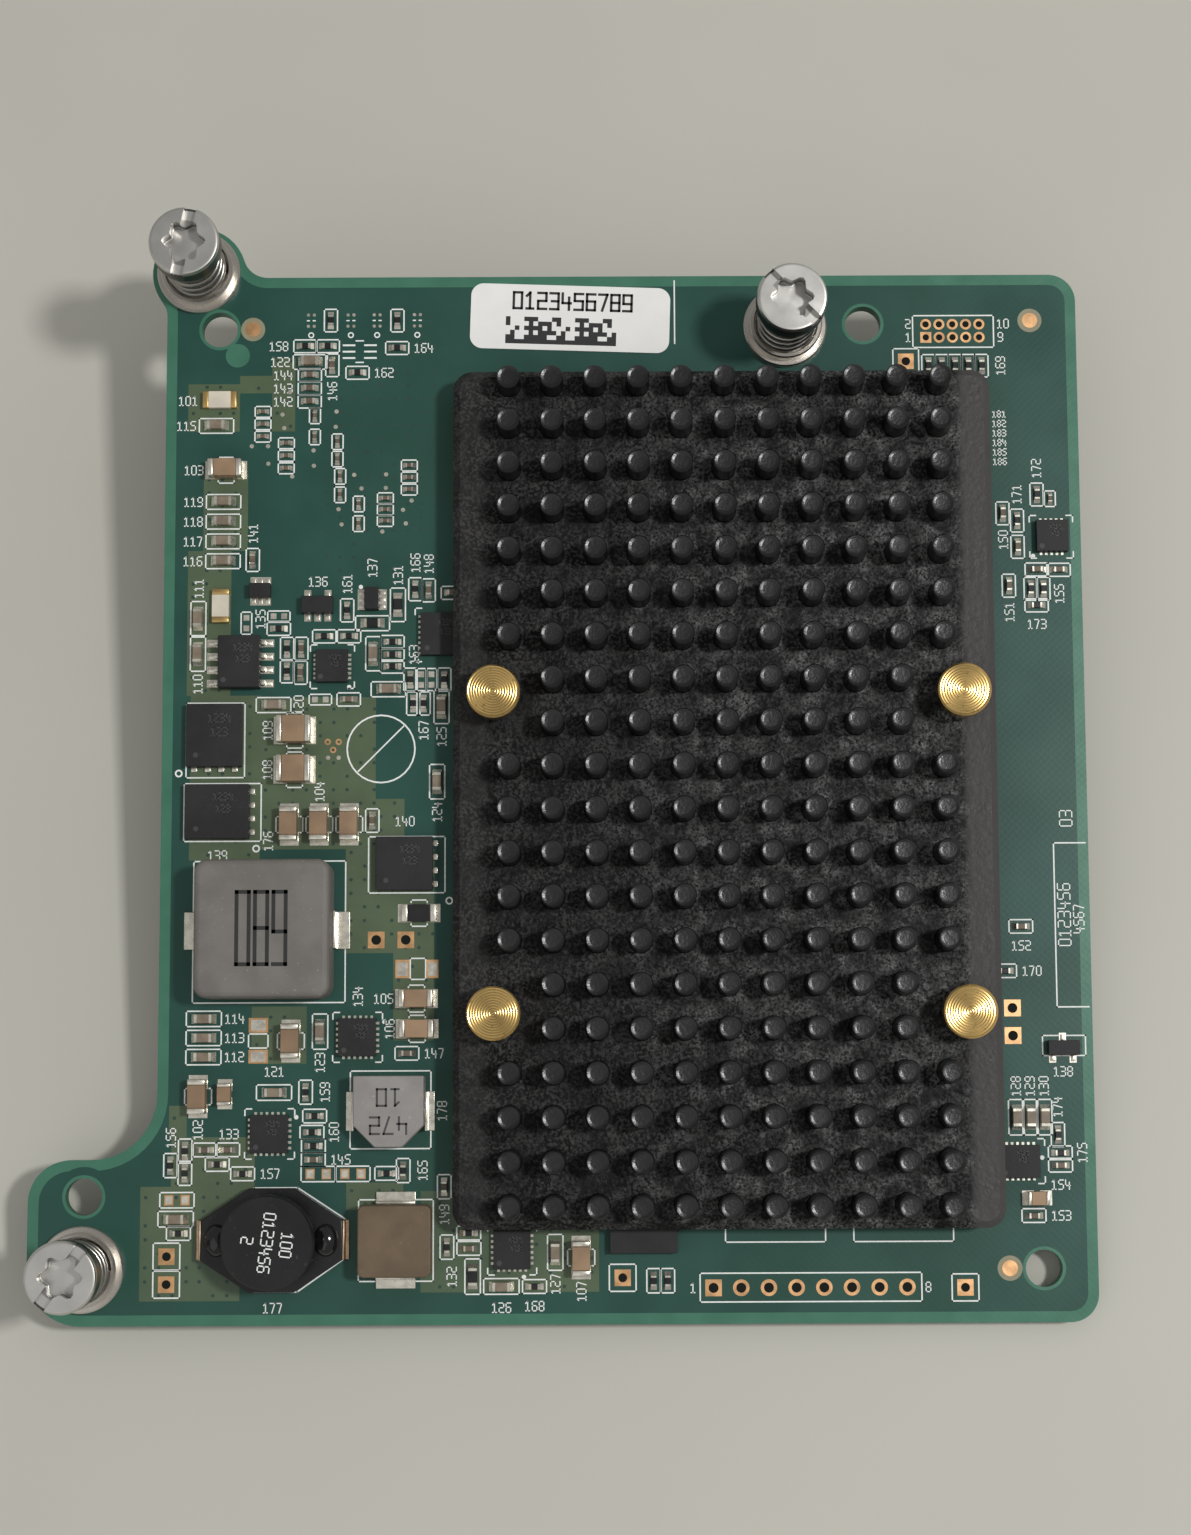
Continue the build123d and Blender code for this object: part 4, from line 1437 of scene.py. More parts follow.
@dataclass
class Print:
    """Strokes, bars and rings that lie on a flat face as thin print."""

    name: str
    finish: Finish
    height: float = 0.0
    thickness: float = 0.012
    stroke: float = 0.13
    advance: float = 1.5
    ring_sides: int = 32
    dot_sides: int = 10
    dot_limit: float = 1.0
    bars: list[Matrix] = field(default_factory=list)
    circles: dict[tuple[float, float, bool], list[Point]] = field(default_factory=dict)

    GLYPHS = {
        "0": (((0, 0), (1, 0), (1, 2), (0, 2), (0, 0)),),
        "1": (((0.1, 1.6), (0.5, 2), (0.5, 0)), ((0.1, 0), (0.9, 0))),
        "2": (((0, 2), (1, 2), (1, 1), (0, 1), (0, 0), (1, 0)),),
        "3": (((0, 2), (1, 2), (1, 0), (0, 0)), ((0.2, 1), (1, 1))),
        "4": (((0, 2), (0, 0.8), (1, 0.8)), ((0.8, 1.5), (0.8, 0))),
        "5": (((1, 2), (0, 2), (0, 1.1), (1, 1.1), (1, 0), (0, 0)),),
        "6": (((1, 2), (0, 2), (0, 0), (1, 0), (1, 1.1), (0, 1.1)),),
        "7": (((0, 2), (1, 2), (0.4, 0)),),
        "8": (((0, 0), (1, 0), (1, 2), (0, 2), (0, 0)), ((0, 1), (1, 1))),
        "9": (((1, 0.9), (0, 0.9), (0, 2), (1, 2), (1, 0), (0, 0)),),
    }

    def bar(self, center: Point, width: float, depth: float, turn: float = 0.0) -> None:
        """A filled bar.

        Args:
            center: Its middle in millimetres.
            width: Its size along its own X.
            depth: Its size along its own Y.
            turn: Its turn in radians.
        """
        place = Matrix.Translation((center[0] * MM, center[1] * MM, self.height * MM))
        size = Matrix.Diagonal((width * MM, depth * MM, self.thickness * MM, 1.0))
        self.bars.append(place @ Matrix.Rotation(turn, 4, "Z") @ size)

    def line(self, start: Point, end: Point) -> None:
        """A stroke between two points.

        Args:
            start: Its first point in millimetres.
            end: Its last point in millimetres.
        """
        across, along = end[0] - start[0], end[1] - start[1]
        center = ((start[0] + end[0]) / 2, (start[1] + end[1]) / 2)
        self.bar(center, math.hypot(across, along) + self.stroke, self.stroke, math.atan2(along, across))

    def path(self, points: Sequence[Point]) -> None:
        """Strokes through points.

        Args:
            points: The points in millimetres.
        """
        for start, end in zip(points, points[1:]):
            self.line(start, end)

    def rectangle(self, center: Point, width: float, depth: float) -> None:
        """The outline of a rectangle.

        Args:
            center: Its middle in millimetres.
            width: Its size along X.
            depth: Its size along Y.
        """
        x, y = center
        w, d = width / 2, depth / 2
        self.path([(x - w, y - d), (x + w, y - d), (x + w, y + d), (x - w, y + d), (x - w, y - d)])

    def corners(self, center: Point, width: float, depth: float, arm: float) -> None:
        """The four corners of a rectangle.

        Args:
            center: Its middle in millimetres.
            width: Its size along X.
            depth: Its size along Y.
            arm: The length of each corner's arms.
        """
        for sx in (-1, 1):
            for sy in (-1, 1):
                x, y = center[0] + sx * width / 2, center[1] + sy * depth / 2
                self.path([(x - sx * arm, y), (x, y), (x, y - sy * arm)])

    def ring(self, center: Point, outer: float, inner: float = 0.0, square: bool = False) -> None:
        """A ring, or a dot where it has no inner diameter.

        Args:
            center: Its middle in millimetres.
            outer: The outer diameter.
            inner: The inner diameter.
            square: Whether the outside is a square.
        """
        self.circles.setdefault((outer, inner, square), []).append(center)

    def number(self, digits: str, at: Point, height: float = 1.0, turn: float = 0.0,
               width: float = 0.5) -> None:
        """A plain number about its middle.

        Args:
            digits: The digits.
            at: The middle in millimetres.
            height: The digits' height.
            turn: The turn in radians.
            width: A digit's width as a share of its height.
        """
        rise, wide = height / 2, height * width
        advance = self.advance * wide
        left = -advance * (len(digits) - 1) / 2 - wide / 2
        spin = Matrix.Rotation(turn, 2)
        for index, digit in enumerate(digits):
            for points in self.GLYPHS[digit]:
                flat = [Vector((left + advance * index + x * wide, (y - 1) * rise)) for x, y in points]
                self.path([(at[0] + p.x, at[1] + p.y) for p in (spin @ point for point in flat)])

    def build(self) -> None:
        """Makes the collected print one thin piece."""
        made = []
        if self.bars:
            made.append(Workshop.stamp("bars", Workshop.unit("bar_model"), self.bars))
        for size, centers in self.circles.items():
            made.append(Workshop.stamp("rings", self.washer(*size), moves(centers)))
        Workshop.fit(Workshop.join(self.name, made), self.finish)

    def washer(self, outer: float, inner: float, square: bool) -> bpy.types.Object:
        """A thin ring or disc.

        Args:
            outer: The outer diameter.
            inner: The inner diameter.
            square: Whether the outside is a square.

        Returns:
            The model.
        """
        Workshop.clear()
        sides = self.ring_sides if outer > self.dot_limit else self.dot_sides
        bpy.ops.mesh.primitive_circle_add(vertices=sides, radius=outer / 2 * MM, fill_type="NGON")
        piece = Workshop.named("ring_model")
        with Workshop.editing("SELECT"):
            if inner:
                bpy.ops.mesh.inset(thickness=(outer - inner) / 2 * MM)
                bpy.ops.mesh.delete(type="FACE")
                bpy.ops.mesh.select_all(action="SELECT")
            bpy.ops.mesh.extrude_region_move(TRANSFORM_OT_translate={"value": (0, 0, self.thickness * MM)})
            bpy.ops.mesh.select_all(action="SELECT")
            bpy.ops.mesh.normals_make_consistent(inside=False)
        if square:
            self.square_off(piece, outer / 2 * MM)
        piece.data.transform(Matrix.Translation((0, 0, self.height * MM)))
        return piece

    @staticmethod
    def square_off(piece: bpy.types.Object, half: float) -> None:
        """Moves a ring's outer corners out to a square.

        Args:
            piece: The ring about the origin.
            half: Half the square's side in metres.
        """
        for vertex in piece.data.vertices:
            reach = max(abs(vertex.co.x), abs(vertex.co.y))
            if vertex.co.xy.length > 0.999 * half:
                vertex.co.xy *= half / reach


@dataclass
class Artwork:
    """All print, bare pads and plated rings on the board's component face."""

    white: Print = field(default_factory=partial(Print, "silk_print", INK_WHITE, 0.006))
    figures: Print = field(default_factory=partial(Print, "silk_numbers", INK_WHITE, 0.006, stroke=0.105))
    copper: Print = field(default_factory=partial(Print, "copper_pads", COPPER_PAD, 0.005, 0.02))
    silver: Print = field(default_factory=partial(Print, "tinned_pads", TIN, 0.005, 0.03))
    under: Print = field(default_factory=partial(Print, "underside_rings", TIN, -1.622, 0.02))
    mask: Print = field(default_factory=partial(Print, "mask_rings", MASK_EDGE, 0.004, 0.003))
    laminate: Print = field(default_factory=partial(Print, "laminate_rings", LAMINATE, 0.004, 0.003))
    pour: Print = field(default_factory=partial(Print, "pour_rings", MASK_POUR, 0.001, 0.0028))
    olive: Print = field(default_factory=partial(Print, "inner_copper_areas", MASK_OLIVE, 0.0042, 0.002))
    tented: Print = field(default_factory=partial(Print, "tented_vias", MASK_VIA, 0.0055, 0.003))
    # Painted shade: the holes layer lays a dark disc over each plated hole.
    holes: Print = field(default_factory=partial(Print, "painted_hole_shade", HOLE_SHADE, 0.0045, 0.004))
    taken: list[tuple[float, float, float, float]] = field(default_factory=list)
    unclaimed: tuple[str, ...] = ("power_transistor_leads", "connector_housing", "connector_wafers")
    room: tuple[float, float, float, float] = (7.2, -11.0, 92.6, 86.0)
    pin_pitch: float = 2.54
    fine_pitch: float = 1.27
    digit_height: float = 0.85
    digit_gap: float = 1.0
    first_number: int = 101
    count: int = 0

    def build(self) -> None:
        """Lays out the print and makes it."""
        self.chip_frames()
        self.package_outlines()
        self.bare_footprints()
        self.headers()
        self.spots()
        self.copper_areas()
        self.flat_chip_teeth()
        self.large_chip_pads()
        self.marks()
        for layer in (self.under, self.pour, self.mask, self.laminate, self.olive, self.tented, self.holes,
                      self.copper, self.silver, self.white, self.figures):
            layer.build()

    def chip_frames(self) -> None:
        """Outlines round the small chip parts."""
        margins = {
            "capacitors_0603": (1.55, 0.57), "resistors_0603": (1.55, 0.57), "capacitors_0402": (1.15, 0.70),
            "resistors_0402": (1.15, 0.70), "capacitors_0201": (0.75, 0.63)}
        for node, (end, side) in margins.items():
            for center, size in laid(node):
                across, along = (side, end) if size.y > size.x else (end, side)
                self.outline(center, size.x + across, size.y + along)

    def outline(self, center: Point, width: float, depth: float) -> None:
        """A white rectangle that numbers keep clear of.

        Args:
            center: Its middle in millimetres.
            width: Its size along X.
            depth: Its size along Y.
        """
        self.white.rectangle(center, width, depth)
        self.claim(center, width, depth)

    def claim(self, center: Point, width: float, depth: float) -> None:
        """Keeps numbers away from a place.

        Args:
            center: Its middle in millimetres.
            width: Its size along X.
            depth: Its size along Y.
        """
        x, y = center
        self.taken.append((x - width / 2, y - depth / 2, x + width / 2, y + depth / 2))

    def package_outlines(self) -> None:
        """Outlines, pin marks and brackets of the larger parts."""
        outlines = [
            (8.94, 38.76, 14.41, 45.80), (8.80, 32.78, 16.00, 38.20), (26.07, 27.89, 33.20, 33.15),
            (9.78, 17.74, 23.94, 30.90), (24.48, 4.28, 31.93, 11.41), (25.30, -7.78, 32.17, -0.37),
            (56.66, -9.78, 77.00, -7.18), (77.70, 79.70, 85.40, 82.80), (88.57, 12.55, 92.55, 14.40)]
        for edges in outlines:
            self.outline(*spanned(*edges))
        for digits, place in (("1", (77.25, 80.7)), ("2", (77.25, 82.0)), ("9", (86.05, 80.7)),
                              ("10", (86.3, 82.0)), ("1", (56.0, -8.5)), ("8", (77.6, -8.5))):
            self.figures.number(digits, place, self.digit_height)
            self.claim(place, 1.4, 1.0)
        octagon = [(11.07, -2.15), (15.7, 0.76), (19.7, 0.76), (24.15, -2.15), (24.15, -5.6), (19.7, -8.7),
                   (15.7, -8.7), (11.07, -5.6), (11.07, -2.15)]
        self.white.path(octagon)
        for center, size in laid("flat_chips"):
            self.white.corners(center, size.x + 1.1, size.y + 1.1, 0.6)
        for place in ((8.26, 39.17), (15.57, 32.09), (33.60, 27.15)):
            self.white.ring(place, 0.75, 0.45)
        for place in ((25.22, 56.8), (24.17, 47.28), (27.6, 15.94), (19.5, 7.2), (40.5, -7.44), (88.7, 59.5),
                      (88.3, 3.2)):
            self.white.ring(place, 0.42)
        self.white.path([(59.03, -3.2), (59.03, -4.37), (68.23, -4.37), (68.23, -3.2)])
        self.white.path([(70.83, -3.2), (70.83, -4.37), (80.0, -4.37), (80.0, -3.2)])
        self.white.path([(92.95, 32.3), (90.0, 32.3), (90.0, 17.04), (92.95, 17.04)])
        for digits, place, height in (("0123456", (90.85, 25.6), 1.15), ("4567", (92.2, 25.2), 0.95),
                                      ("03", (91.2, 34.6), 1.15)):
            self.figures.number(digits, place, height, math.pi / 2)
        self.claim((91.2, 26.5), 3.0, 18.5)
        self.white.line((55.0, 80.2), (55.0, 86.3))
        self.white.ring((27.19, 41.41), 6.5, 6.2)
        self.white.line((25.06, 39.3), (29.35, 43.6))
        self.claim((27.19, 41.41), 6.6, 6.6)

    def bare_footprints(self) -> None:
        """Tinned pads of parts that are not fitted, with their outlines."""
        footprints = [
            (14.46, 53.39, Lie.UPRIGHT), (17.51, 54.04, Lie.ACROSS), (21.47, 46.10, Lie.ACROSS),
            (30.93, 47.95, Lie.UPRIGHT), (31.90, 47.95, Lie.UPRIGHT)]
        for x, y, lie in footprints:
            upright = lie is Lie.UPRIGHT
            for side in (-0.5, 0.5):
                place = (x, y + side) if upright else (x + side, y)
                self.silver.bar(place, 0.55, 0.55)
            self.outline((x, y), *((1.0, 2.1) if upright else (2.1, 1.0)))
        for place, width, depth in (((29.25, 20.82), 1.3, 1.7), ((32.05, 20.82), 1.1, 1.7),
                                    ((15.93, 15.67), 1.8, 1.35), ((15.93, 12.78), 1.8, 1.25)):
            self.copper.bar(place, width, depth)
            self.silver.bar(place, 0.75 * width, 0.75 * depth)
            self.claim(place, width + 0.4, depth + 0.4)
        self.white.rectangle((30.7, 20.82), 1.43, 1.95)
        self.white.rectangle((15.93, 14.22), 1.8, 1.3)
        for x, y in ((8.58, -0.33), (21.56, 2.0), (24.76, 2.0)):
            self.outline((x, y), 3.15, 1.4)
            for side in (-0.75, 0.75):
                self.copper.bar((x + side, y), 0.85, 0.95)
                self.silver.bar((x + side, y), 0.6, 0.7)

    def headers(self) -> None:
        """Plated rings of the bare headers, test points and jumpers."""
        for index in range(8):
            place = (57.89 + self.pin_pitch * index, -8.5)
            self.plated(place, 1.52, 0.92, square=index == 0)
        for column in range(5):
            for row in range(2):
                place = (78.94 + self.fine_pitch * column, 80.68 + self.fine_pitch * row)
                self.plated(place, 1.05, 0.62, square=column == 0 and row == 0)
        for place in ((7.68, -5.45), (7.68, -7.98), (49.56, -7.55), (81.0, -8.56), (77.0, 78.36)):
            self.white.rectangle(place, 2.45, 2.45)
            self.plated(place, 1.5, 0.82, square=True)
            self.claim(place, 2.6, 2.6)
        for place in ((26.81, 23.52), (29.56, 23.52), (85.85, 16.96), (85.85, 14.41)):
            self.plated(place, 1.55, 0.92, square=True)
            self.claim(place, 1.8, 1.8)

    def plated(self, place: Point, size: float, hole: float, square: bool = False) -> None:
        """A copper pad round a hole, with a dark disc over the hole as painted shade.

        Args:
            place: Its middle in millimetres.
            size: The pad's diameter or side.
            hole: The hole's diameter.
            square: Whether the pad is square.
        """
        self.copper.ring(place, size, hole, square)
        self.under.ring(place, size, hole, square)
        self.holes.ring(place, hole)

    def copper_areas(self) -> None:
        """Inner copper that shows through the mask, tented vias and rings of pour round the free holes."""
        areas = [
            (8.74, 71.80, 13.64, 76.40), (13.64, 75.50, 16.70, 77.20), (16.70, 71.80, 18.90, 78.90),
            (10.30, 60.30, 14.50, 67.70), (8.90, 46.50, 13.00, 60.30), (9.30, 31.00, 15.90, 46.50),
            (15.90, 32.00, 26.70, 46.30), (26.70, 32.00, 29.40, 36.70), (23.94, 22.30, 32.20, 32.00),
            (28.40, 14.20, 32.20, 22.30), (15.30, 12.10, 20.40, 17.40), (7.75, 5.40, 9.40, 8.30),
            (8.00, -1.85, 15.70, 5.40), (10.20, -9.50, 14.40, -1.85), (31.00, -8.80, 47.40, 0.40),
            (5.20, -9.50, 10.20, -1.85), (5.20, -1.85, 8.00, 0.90), (24.15, -1.30, 29.40, 1.20)]
        step = self.fine_pitch
        for edges in areas:
            center, width, depth = spanned(*edges)
            self.olive.bar(center, width, depth)
            left, bottom = edges[0] + 0.5, edges[1] + 0.5
            for column in range(int((width - 0.6) / step) + 1):
                for row in range(int((depth - 0.6) / step) + 1):
                    if (column + 2 * row) % 3:
                        self.tented.ring((left + step * column, bottom + step * row), 0.34)
        for column in range(9):
            for row in range(16):
                if (2 * column + row) % 4:
                    self.tented.ring((22.0 + step * column, 58.4 + step * row), 0.3)
        for place in bores():
            self.pour.ring(place, 5.5, 4.0)

    def flat_chip_teeth(self) -> None:
        """Tinned pads that show along the edges of the leadless chips."""
        upright, level, both = (0, 2), (1, 3), (0, 1, 2, 3)
        rows = [
            (22.58, 49.22, upright, 0.43), (32.90, 52.20, upright, 0.5), (25.13, 14.52, both, 0.52),
            (17.06, 5.68, both, 0.52), (39.42, -4.95, both, 0.5), (86.05, 2.88, level, 0.5),
            (90.46, 61.33, level, 0.5)]
        for (x, y), size in laid("flat_chips"):
            _, _, turns, pitch = min(rows, key=lambda row: math.hypot(row[0] - x, row[1] - y))
            for turn in turns:
                along, reach = (size.y, size.x / 2) if turn % 2 == 0 else (size.x, size.y / 2)
                count = int((along - 0.5) / pitch) + 1
                angle = turn * math.pi / 2
                for index in range(count):
                    place = Vector((reach + 0.1, (index - (count - 1) / 2) * pitch))
                    offset = Matrix.Rotation(angle, 2) @ place
                    self.silver.bar((x + offset.x, y + offset.y), 0.3, 0.24, angle)

    def large_chip_pads(self) -> None:
        """Tinned pads and side brackets of the larger chip parts."""
        for node in ("capacitor_1210_ends", "capacitor_1206_ends", "capacitor_0805_ends",
                     "sense_resistor_ends"):
            for center, size in laid(node):
                across, along = (0.1, 0.75) if size.x > size.y else (0.75, 0.1)
                self.silver.bar(center, size.x + across, size.y + along)
        for node in ("small_package_legs", "leaded_chip_legs"):
            for center, size in laid(node):
                self.silver.bar(center, size.x + 0.3, size.y + 0.3)
        for node in ("capacitor_1210_bodies", "capacitor_1206_bodies", "sense_resistor_body"):
            for (x, y), size in laid(node):
                upright = size.y > size.x and node != "capacitor_1210_bodies"
                gap = (size.x if upright else size.y) / 2 + 0.42
                bracket = [(gap - 0.22, -0.75), (gap, -0.75), (gap, 0.75), (gap - 0.22, 0.75)]
                for side in (-1, 1):
                    flat = [(side * out, run) if upright else (run, side * out) for out, run in bracket]
                    self.white.path([(x + across, y + along) for across, along in flat])

    def spots(self) -> None:
        """Fiducials, tinned via dots and the rings near the diode marks."""
        for place in ((14.83, 81.72), (88.86, 82.3), (85.13, -6.84)):
            self.laminate.ring(place, 2.3)
            self.copper.ring(place, 1.45)
        self.mask.ring((13.39, 79.17), 2.3)
        vias = [
            (17.7, 73.43), (17.87, 72.11), (14.81, 70.37), (16.35, 70.37), (16.39, 68.67), (18.67, 67.44),
            (20.67, 69.94), (20.7, 68.46), (18.39, 75.6), (22.83, 73.7), (22.76, 72.22), (24.54, 67.57),
            (25.24, 66.26), (23.07, 64.26), (23.37, 62.8), (27.56, 67.6), (27.54, 66.3), (27.22, 62.1),
            (29.98, 65.07), (29.17, 64.17), (29.44, 62.87), (22.22, 40.59), (23.22, 40.59)]
        for place in vias:
            self.silver.ring(place, 0.42)
        for place in ((22.19, 42.09), (23.22, 42.09), (22.7, 41.33)):
            self.copper.ring(place, 0.62, 0.3)
        for x in (20.37, 24.15, 26.65, 30.48):
            for side in (-0.28, 0.28):
                self.silver.ring((x + side, 82.0), 0.32)
                self.silver.ring((x + side, 83.1), 0.32)
                self.white.bar((x + side, 82.55), 0.3, 0.12)
            self.white.ring((x, 81.13), 0.6, 0.36)
            self.claim((x, 82.2), 1.3, 2.9)
        for side in (-1, 1):
            for index in range(3):
                y = 78.9 + 0.62 * index
                self.white.bar((25.0 + side * 1.02, y), 1.2, 0.17)
            self.white.bar((25.0, 79.52 + side * 1.05), 0.8, 0.13)
        self.claim((25.0, 79.5), 3.7, 2.6)

    def marks(self) -> None:
        """Plain running numbers beside the parts, where there is room."""
        bulky = [node for node, _, _ in DRESSED if node not in self.unclaimed]
        for node in bulky + ["drum_inductor_core", "heat_sink", "ferrules"]:
            for center, size in laid(node):
                self.claim(center, size.x + 0.3, size.y + 0.3)
        for place in bores():
            self.claim(place, 5.0, 5.0)
        for node in ("fuse_bodies", "capacitor_1206_bodies", "capacitor_1210_bodies", "capacitors_0603",
                     "resistors_0603", "flat_chips", "small_package_bodies", "power_transistor_bodies",
                     "capacitors_0402", "resistors_0402", "power_inductor_core", "drum_inductor_core",
                     "cut_inductor_core", "square_inductor_core"):
            for center, size in laid(node):
                self.mark(center, size)
        for row in range(6):
            self.figures.number(str(181 + row), (85.75, 73.2 - 0.92 * row), 0.62)

    def mark(self, center: Point, size: Vector) -> None:
        """Sets the next number on the first free side of a part.

        Args:
            center: The part's middle in millimetres.
            size: The part's size in millimetres.
        """
        digits = str(self.first_number + self.count)
        height, gap = self.digit_height, self.digit_gap
        long, short = 0.75 * height * len(digits) + 0.1, height + 0.15
        left, right, below, above = (-1, 0), (1, 0), (0, -1), (0, 1)
        tries = [(side, 0.0) for side in (left, right, below, above)] if size.x >= size.y else []
        tries += [(side, math.pi / 2) for side in (below, above, left, right)]
        for (dx, dy), turn in tries:
            width, depth = (short, long) if turn else (long, short)
            x = center[0] + dx * (size.x / 2 + gap + width / 2)
            y = center[1] + dy * (size.y / 2 + gap + depth / 2)
            if self.free((x - width / 2, y - depth / 2, x + width / 2, y + depth / 2)):
                self.count += 1
                self.figures.number(digits, (x, y), height, turn)
                self.claim((x, y), width, depth)
                return

    def free(self, box: tuple[float, float, float, float]) -> bool:
        """Whether a number fits on the board without touching anything.

        Args:
            box: The number's box in millimetres.

        Returns:
            True where the place is free.
        """
        left, bottom, right, top = self.room
        inside = box[0] > left and box[1] > bottom and box[2] < right and box[3] < top
        return inside and all(
            box[2] < x0 or box[0] > x1 or box[3] < y0 or box[1] > y1 for x0, y0, x1, y1 in self.taken)


@dataclass
class PartMarks:
    """Plain numbers, dots and bars on top of label, inductors and packages."""

    lift: float = 0.001
    thickness: float = 0.008
    cell: float = 0.44
    label_turn: float = math.radians(-1.9)

    def layer(self, name: str, finish: Finish, node: str, stroke: float) -> tuple[Print, Vector]:
        """A print layer on a node's upper face.

        Args:
            name: The print's name.
            finish: Its ink.
            node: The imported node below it.
            stroke: The strokes' width.

        Returns:
            The layer, and the middle of the node's box in millimetres.
        """
        low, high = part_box(node)
        height = high.z / MM + self.lift - self.thickness
        return Print(name, finish, height, self.thickness, stroke), middle((low, high)) / MM

    def build(self) -> None:
        """Prints every marked part."""
        self.label()
        for name, ink, node, rows, height, turn, width, stroke in (
                ("power_inductor_number", INK_BLACK, "power_inductor_core", ("680",), 6.6, 180.0, 0.17, 0.36),
                ("cut_inductor_number", INK_GREY, "cut_inductor_core", ("472", "10"), 1.5, 180.0, 0.55, 0.2),
                ("drum_inductor_number", INK_WHITE, "drum_inductor_core", ("100", "0123456", "2"), 1.05, -97.0,
                 0.5, 0.12)):
            layer, center = self.layer(name, ink, node, stroke)
            down = Matrix.Rotation(math.radians(turn), 2) @ Vector((0.0, -1.7 * height))
            for index, digits in enumerate(rows):
                place = center.xy + down * (index - (len(rows) - 1) / 2)
                layer.number(digits, (place.x, place.y), height, math.radians(turn), width)
            layer.build()
        for node, spread in (("power_transistor_bodies", 0.32), ("flat_chips", 0.34),
                             ("leaded_chip_body", 0.36)):
            layer, _ = self.layer(f"{node}_marks", MOULD_MARK, node, 0.1)
            for (x, y), size in laid(node):
                layer.ring((x - spread * size.x, y - spread * size.y), 0.5)
                for digits, rise in (("123", 0.05), ("1234", 0.27)):
                    layer.number(digits, (x + 0.1 * size.x, y + rise * size.y), 0.13 * size.y)
            layer.build()

    def label(self) -> None:
        """A plain number and a field of small squares on the paper label."""
        layer, center = self.layer("label_print", INK_BLACK, "label", 0.25)
        spin = Matrix.Rotation(self.label_turn, 2)

        def at(x: float, y: float) -> Point:
            """A place on the turned label."""
            moved = spin @ Vector((x, y))
            return (center.x + moved.x, center.y + moved.y)

        layer.number("0123456789", at(0.2, 1.6), 1.55, self.label_turn)
        cell = self.cell
        for column in range(24):
            for row in range(6):
                if (37 * column + 91 * row + 17 * column * row + column * column) % 11 < 5 or row == 0:
                    layer.bar(at(-5.9 + cell * column, -2.4 + cell * row), cell, cell, self.label_turn)
        layer.build()


@dataclass
class ConnectorContacts:
    """Gold contacts along both faces of the connector's wafers."""

    pitch: float = 1.3
    width: float = 0.5
    thickness: float = 0.06
    margin: float = 0.8

    def build(self) -> None:
        """Models one contact and copies it along the wafers."""
        places = []
        for low, high in islands("connector_wafers"):
            length = (high.y - low.y) / MM - 2 * self.margin
            count = int(length / self.pitch) + 1
            for index in range(count):
                y = middle((low, high)).y + (index - (count - 1) / 2) * self.pitch * MM
                for x in (low.x, high.x):
                    height = high.z - low.z
                    size = Matrix.Diagonal((2 * self.thickness * MM, self.width * MM, 0.8 * height, 1.0))
                    places.append(Matrix.Translation((x, y, low.z + 0.1 * height)) @ size)
        Workshop.fit(Workshop.stamp("connector_contacts", Workshop.unit("contact_model"), places), GOLD)


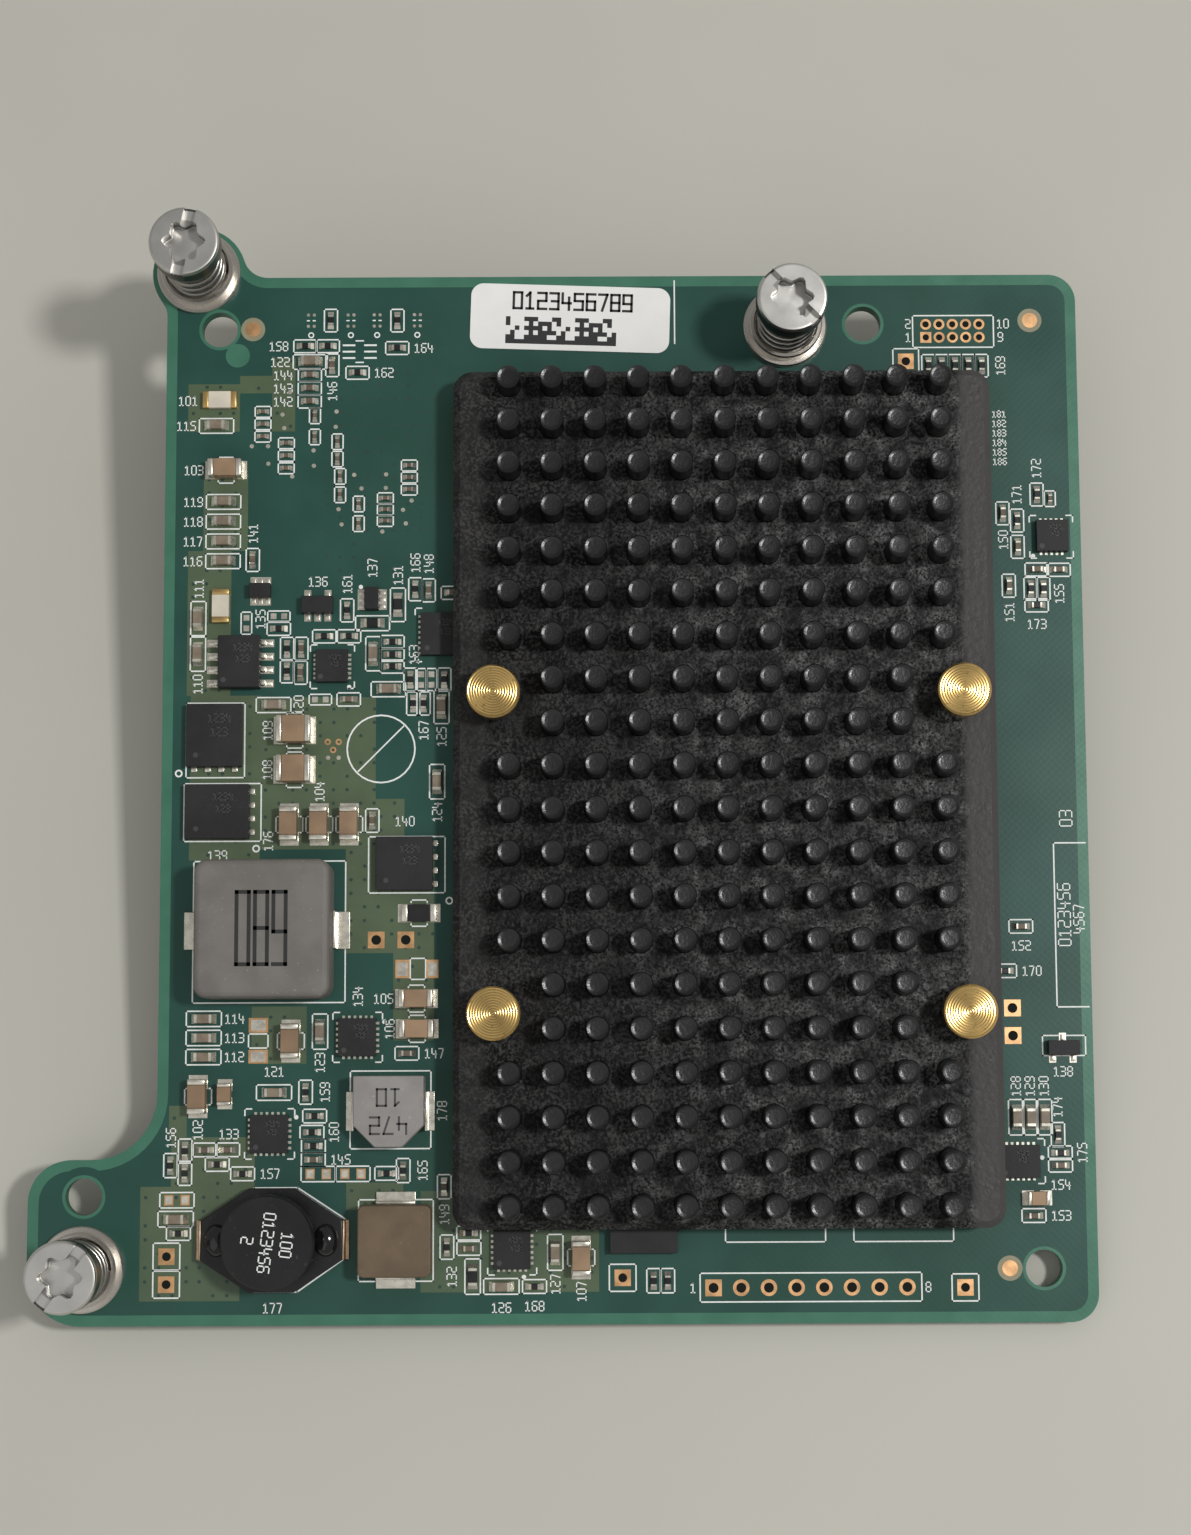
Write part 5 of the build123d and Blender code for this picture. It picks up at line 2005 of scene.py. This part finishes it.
@dataclass
class Studio:
    """Floor, lamps and camera."""

    camera_at: tuple[float, float, float] = (46.897, 11.052, 256.137)
    camera_right: tuple[float, float, float] = (0.99999, -0.00448, 0.00098)
    camera_down: tuple[float, float, float] = (-0.00434, -0.99385, -0.11066)
    camera_forward: tuple[float, float, float] = (0.00147, 0.11066, -0.99386)
    focal_length: float = 64.54
    sensor: float = 36.0
    floor_size: float = 3.0
    floor_height: float = -5.26
    floor_slope_x: float = 0.0218
    floor_slope_y: float = -0.1106
    floor_color: Color = (0.50, 0.485, 0.425)
    world_level: float = 0.48
    world_reflection: float = 0.25
    lamp_target: tuple[float, float, float] = (0.044, 0.037, 0.0)

    def build(self) -> None:
        """Sets the floor, the lamps, the world and the camera."""
        self.floor()
        self.lamps()
        self.camera()
        bpy.context.scene.view_settings.view_transform = "Standard"

    def floor(self) -> None:
        """A large pale sheet below the card."""
        Workshop.clear()
        bpy.ops.mesh.primitive_plane_add(size=self.floor_size)
        piece = Workshop.named("floor_sheet")
        for vertex in piece.data.vertices:
            slope = self.floor_slope_x * vertex.co.x + self.floor_slope_y * vertex.co.y
            vertex.co.z = self.floor_height * MM + slope
        finish = Finish("floor_pale", "paper", self.floor_color, 0.55, tone=0.02, tone_scale=20.0, relief=0.0)
        piece.data.materials.append(finish.material())

    def lamps(self) -> None:
        """A soft key from the right, a weak fill and a grey world."""
        for name, place, size, power in (
                ("key", (0.42, 0.10, 0.70), 0.08, 3.1),
                ("fill", (-0.30, -0.30, 0.75), 0.8, 0.6)):
            Workshop.clear()
            bpy.ops.object.light_add(type="AREA", location=place)
            lamp = bpy.context.object
            lamp.name = f"{name}_lamp"
            lamp.data.energy = power
            lamp.data.size = size
            aim = Vector(self.lamp_target) - Vector(place)
            lamp.rotation_euler = aim.to_track_quat("-Z", "Y").to_euler()
        world = bpy.data.worlds.new("studio_world")
        bpy.context.scene.world = world
        world.use_nodes = True
        tree = world.node_tree
        path = tree.nodes.new("ShaderNodeLightPath")
        level = tree.nodes.new("ShaderNodeMapRange")
        level.inputs["To Min"].default_value = self.world_level
        level.inputs["To Max"].default_value = self.world_reflection
        tree.links.new(path.outputs["Is Glossy Ray"], level.inputs["Value"])
        tree.links.new(level.outputs["Result"], tree.nodes["Background"].inputs["Strength"])
        tree.nodes["Background"].inputs["Color"].default_value = (1.0, 1.0, 1.0, 1.0)

    def camera(self) -> None:
        """The camera at the measured place and turn."""
        Workshop.clear()
        bpy.ops.object.camera_add()
        camera = bpy.context.object
        back = -Vector(self.camera_forward)
        up = -Vector(self.camera_down)
        turn = Matrix((self.camera_right, up, back)).transposed().to_4x4()
        camera.matrix_world = Matrix.Translation(Vector(self.camera_at) * MM) @ turn
        camera.data.sensor_width = self.sensor
        camera.data.lens = self.focal_length
        camera.data.clip_start = 0.01
        bpy.context.scene.camera = camera


def refine_rest() -> None:
    """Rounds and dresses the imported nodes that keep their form."""
    for node, finish, edge in DRESSED:
        Workshop.fit(Workshop.refined(node, f"{node}_dressed", edge), finish, stands_for=[node])


def chip_banks() -> list[ChipBank]:
    """The kinds of small chip parts.

    Returns:
        One bank for each kind.
    """
    return [
        ChipBank("capacitors_0603", CERAMIC_GREY),
        ChipBank("capacitors_0402", CERAMIC_DARK, 0.25),
        ChipBank("capacitors_0201", CERAMIC_DARK, 0.27),
        ChipBank("resistors_0603", RESISTOR_BLACK),
        ChipBank("resistors_0402", RESISTOR_BLACK, 0.25),
    ]


def main() -> None:
    logging.basicConfig(level=logging.INFO, format="%(message)s")
    CardBoard().build()
    HeatSink().build()
    PushPins().build()
    Ferrules().build()
    for number, slot_turn in ((1, 79.0), (2, -46.0), (3, 54.0)):
        CaptiveScrew(number, slot_turn).build()
    refine_rest()
    DrumInductor().build()
    for bank in chip_banks():
        bank.build()
    Artwork().build()
    PartMarks().build()
    ConnectorContacts().build()
    Studio().build()


if __name__ == "__main__":
    main()
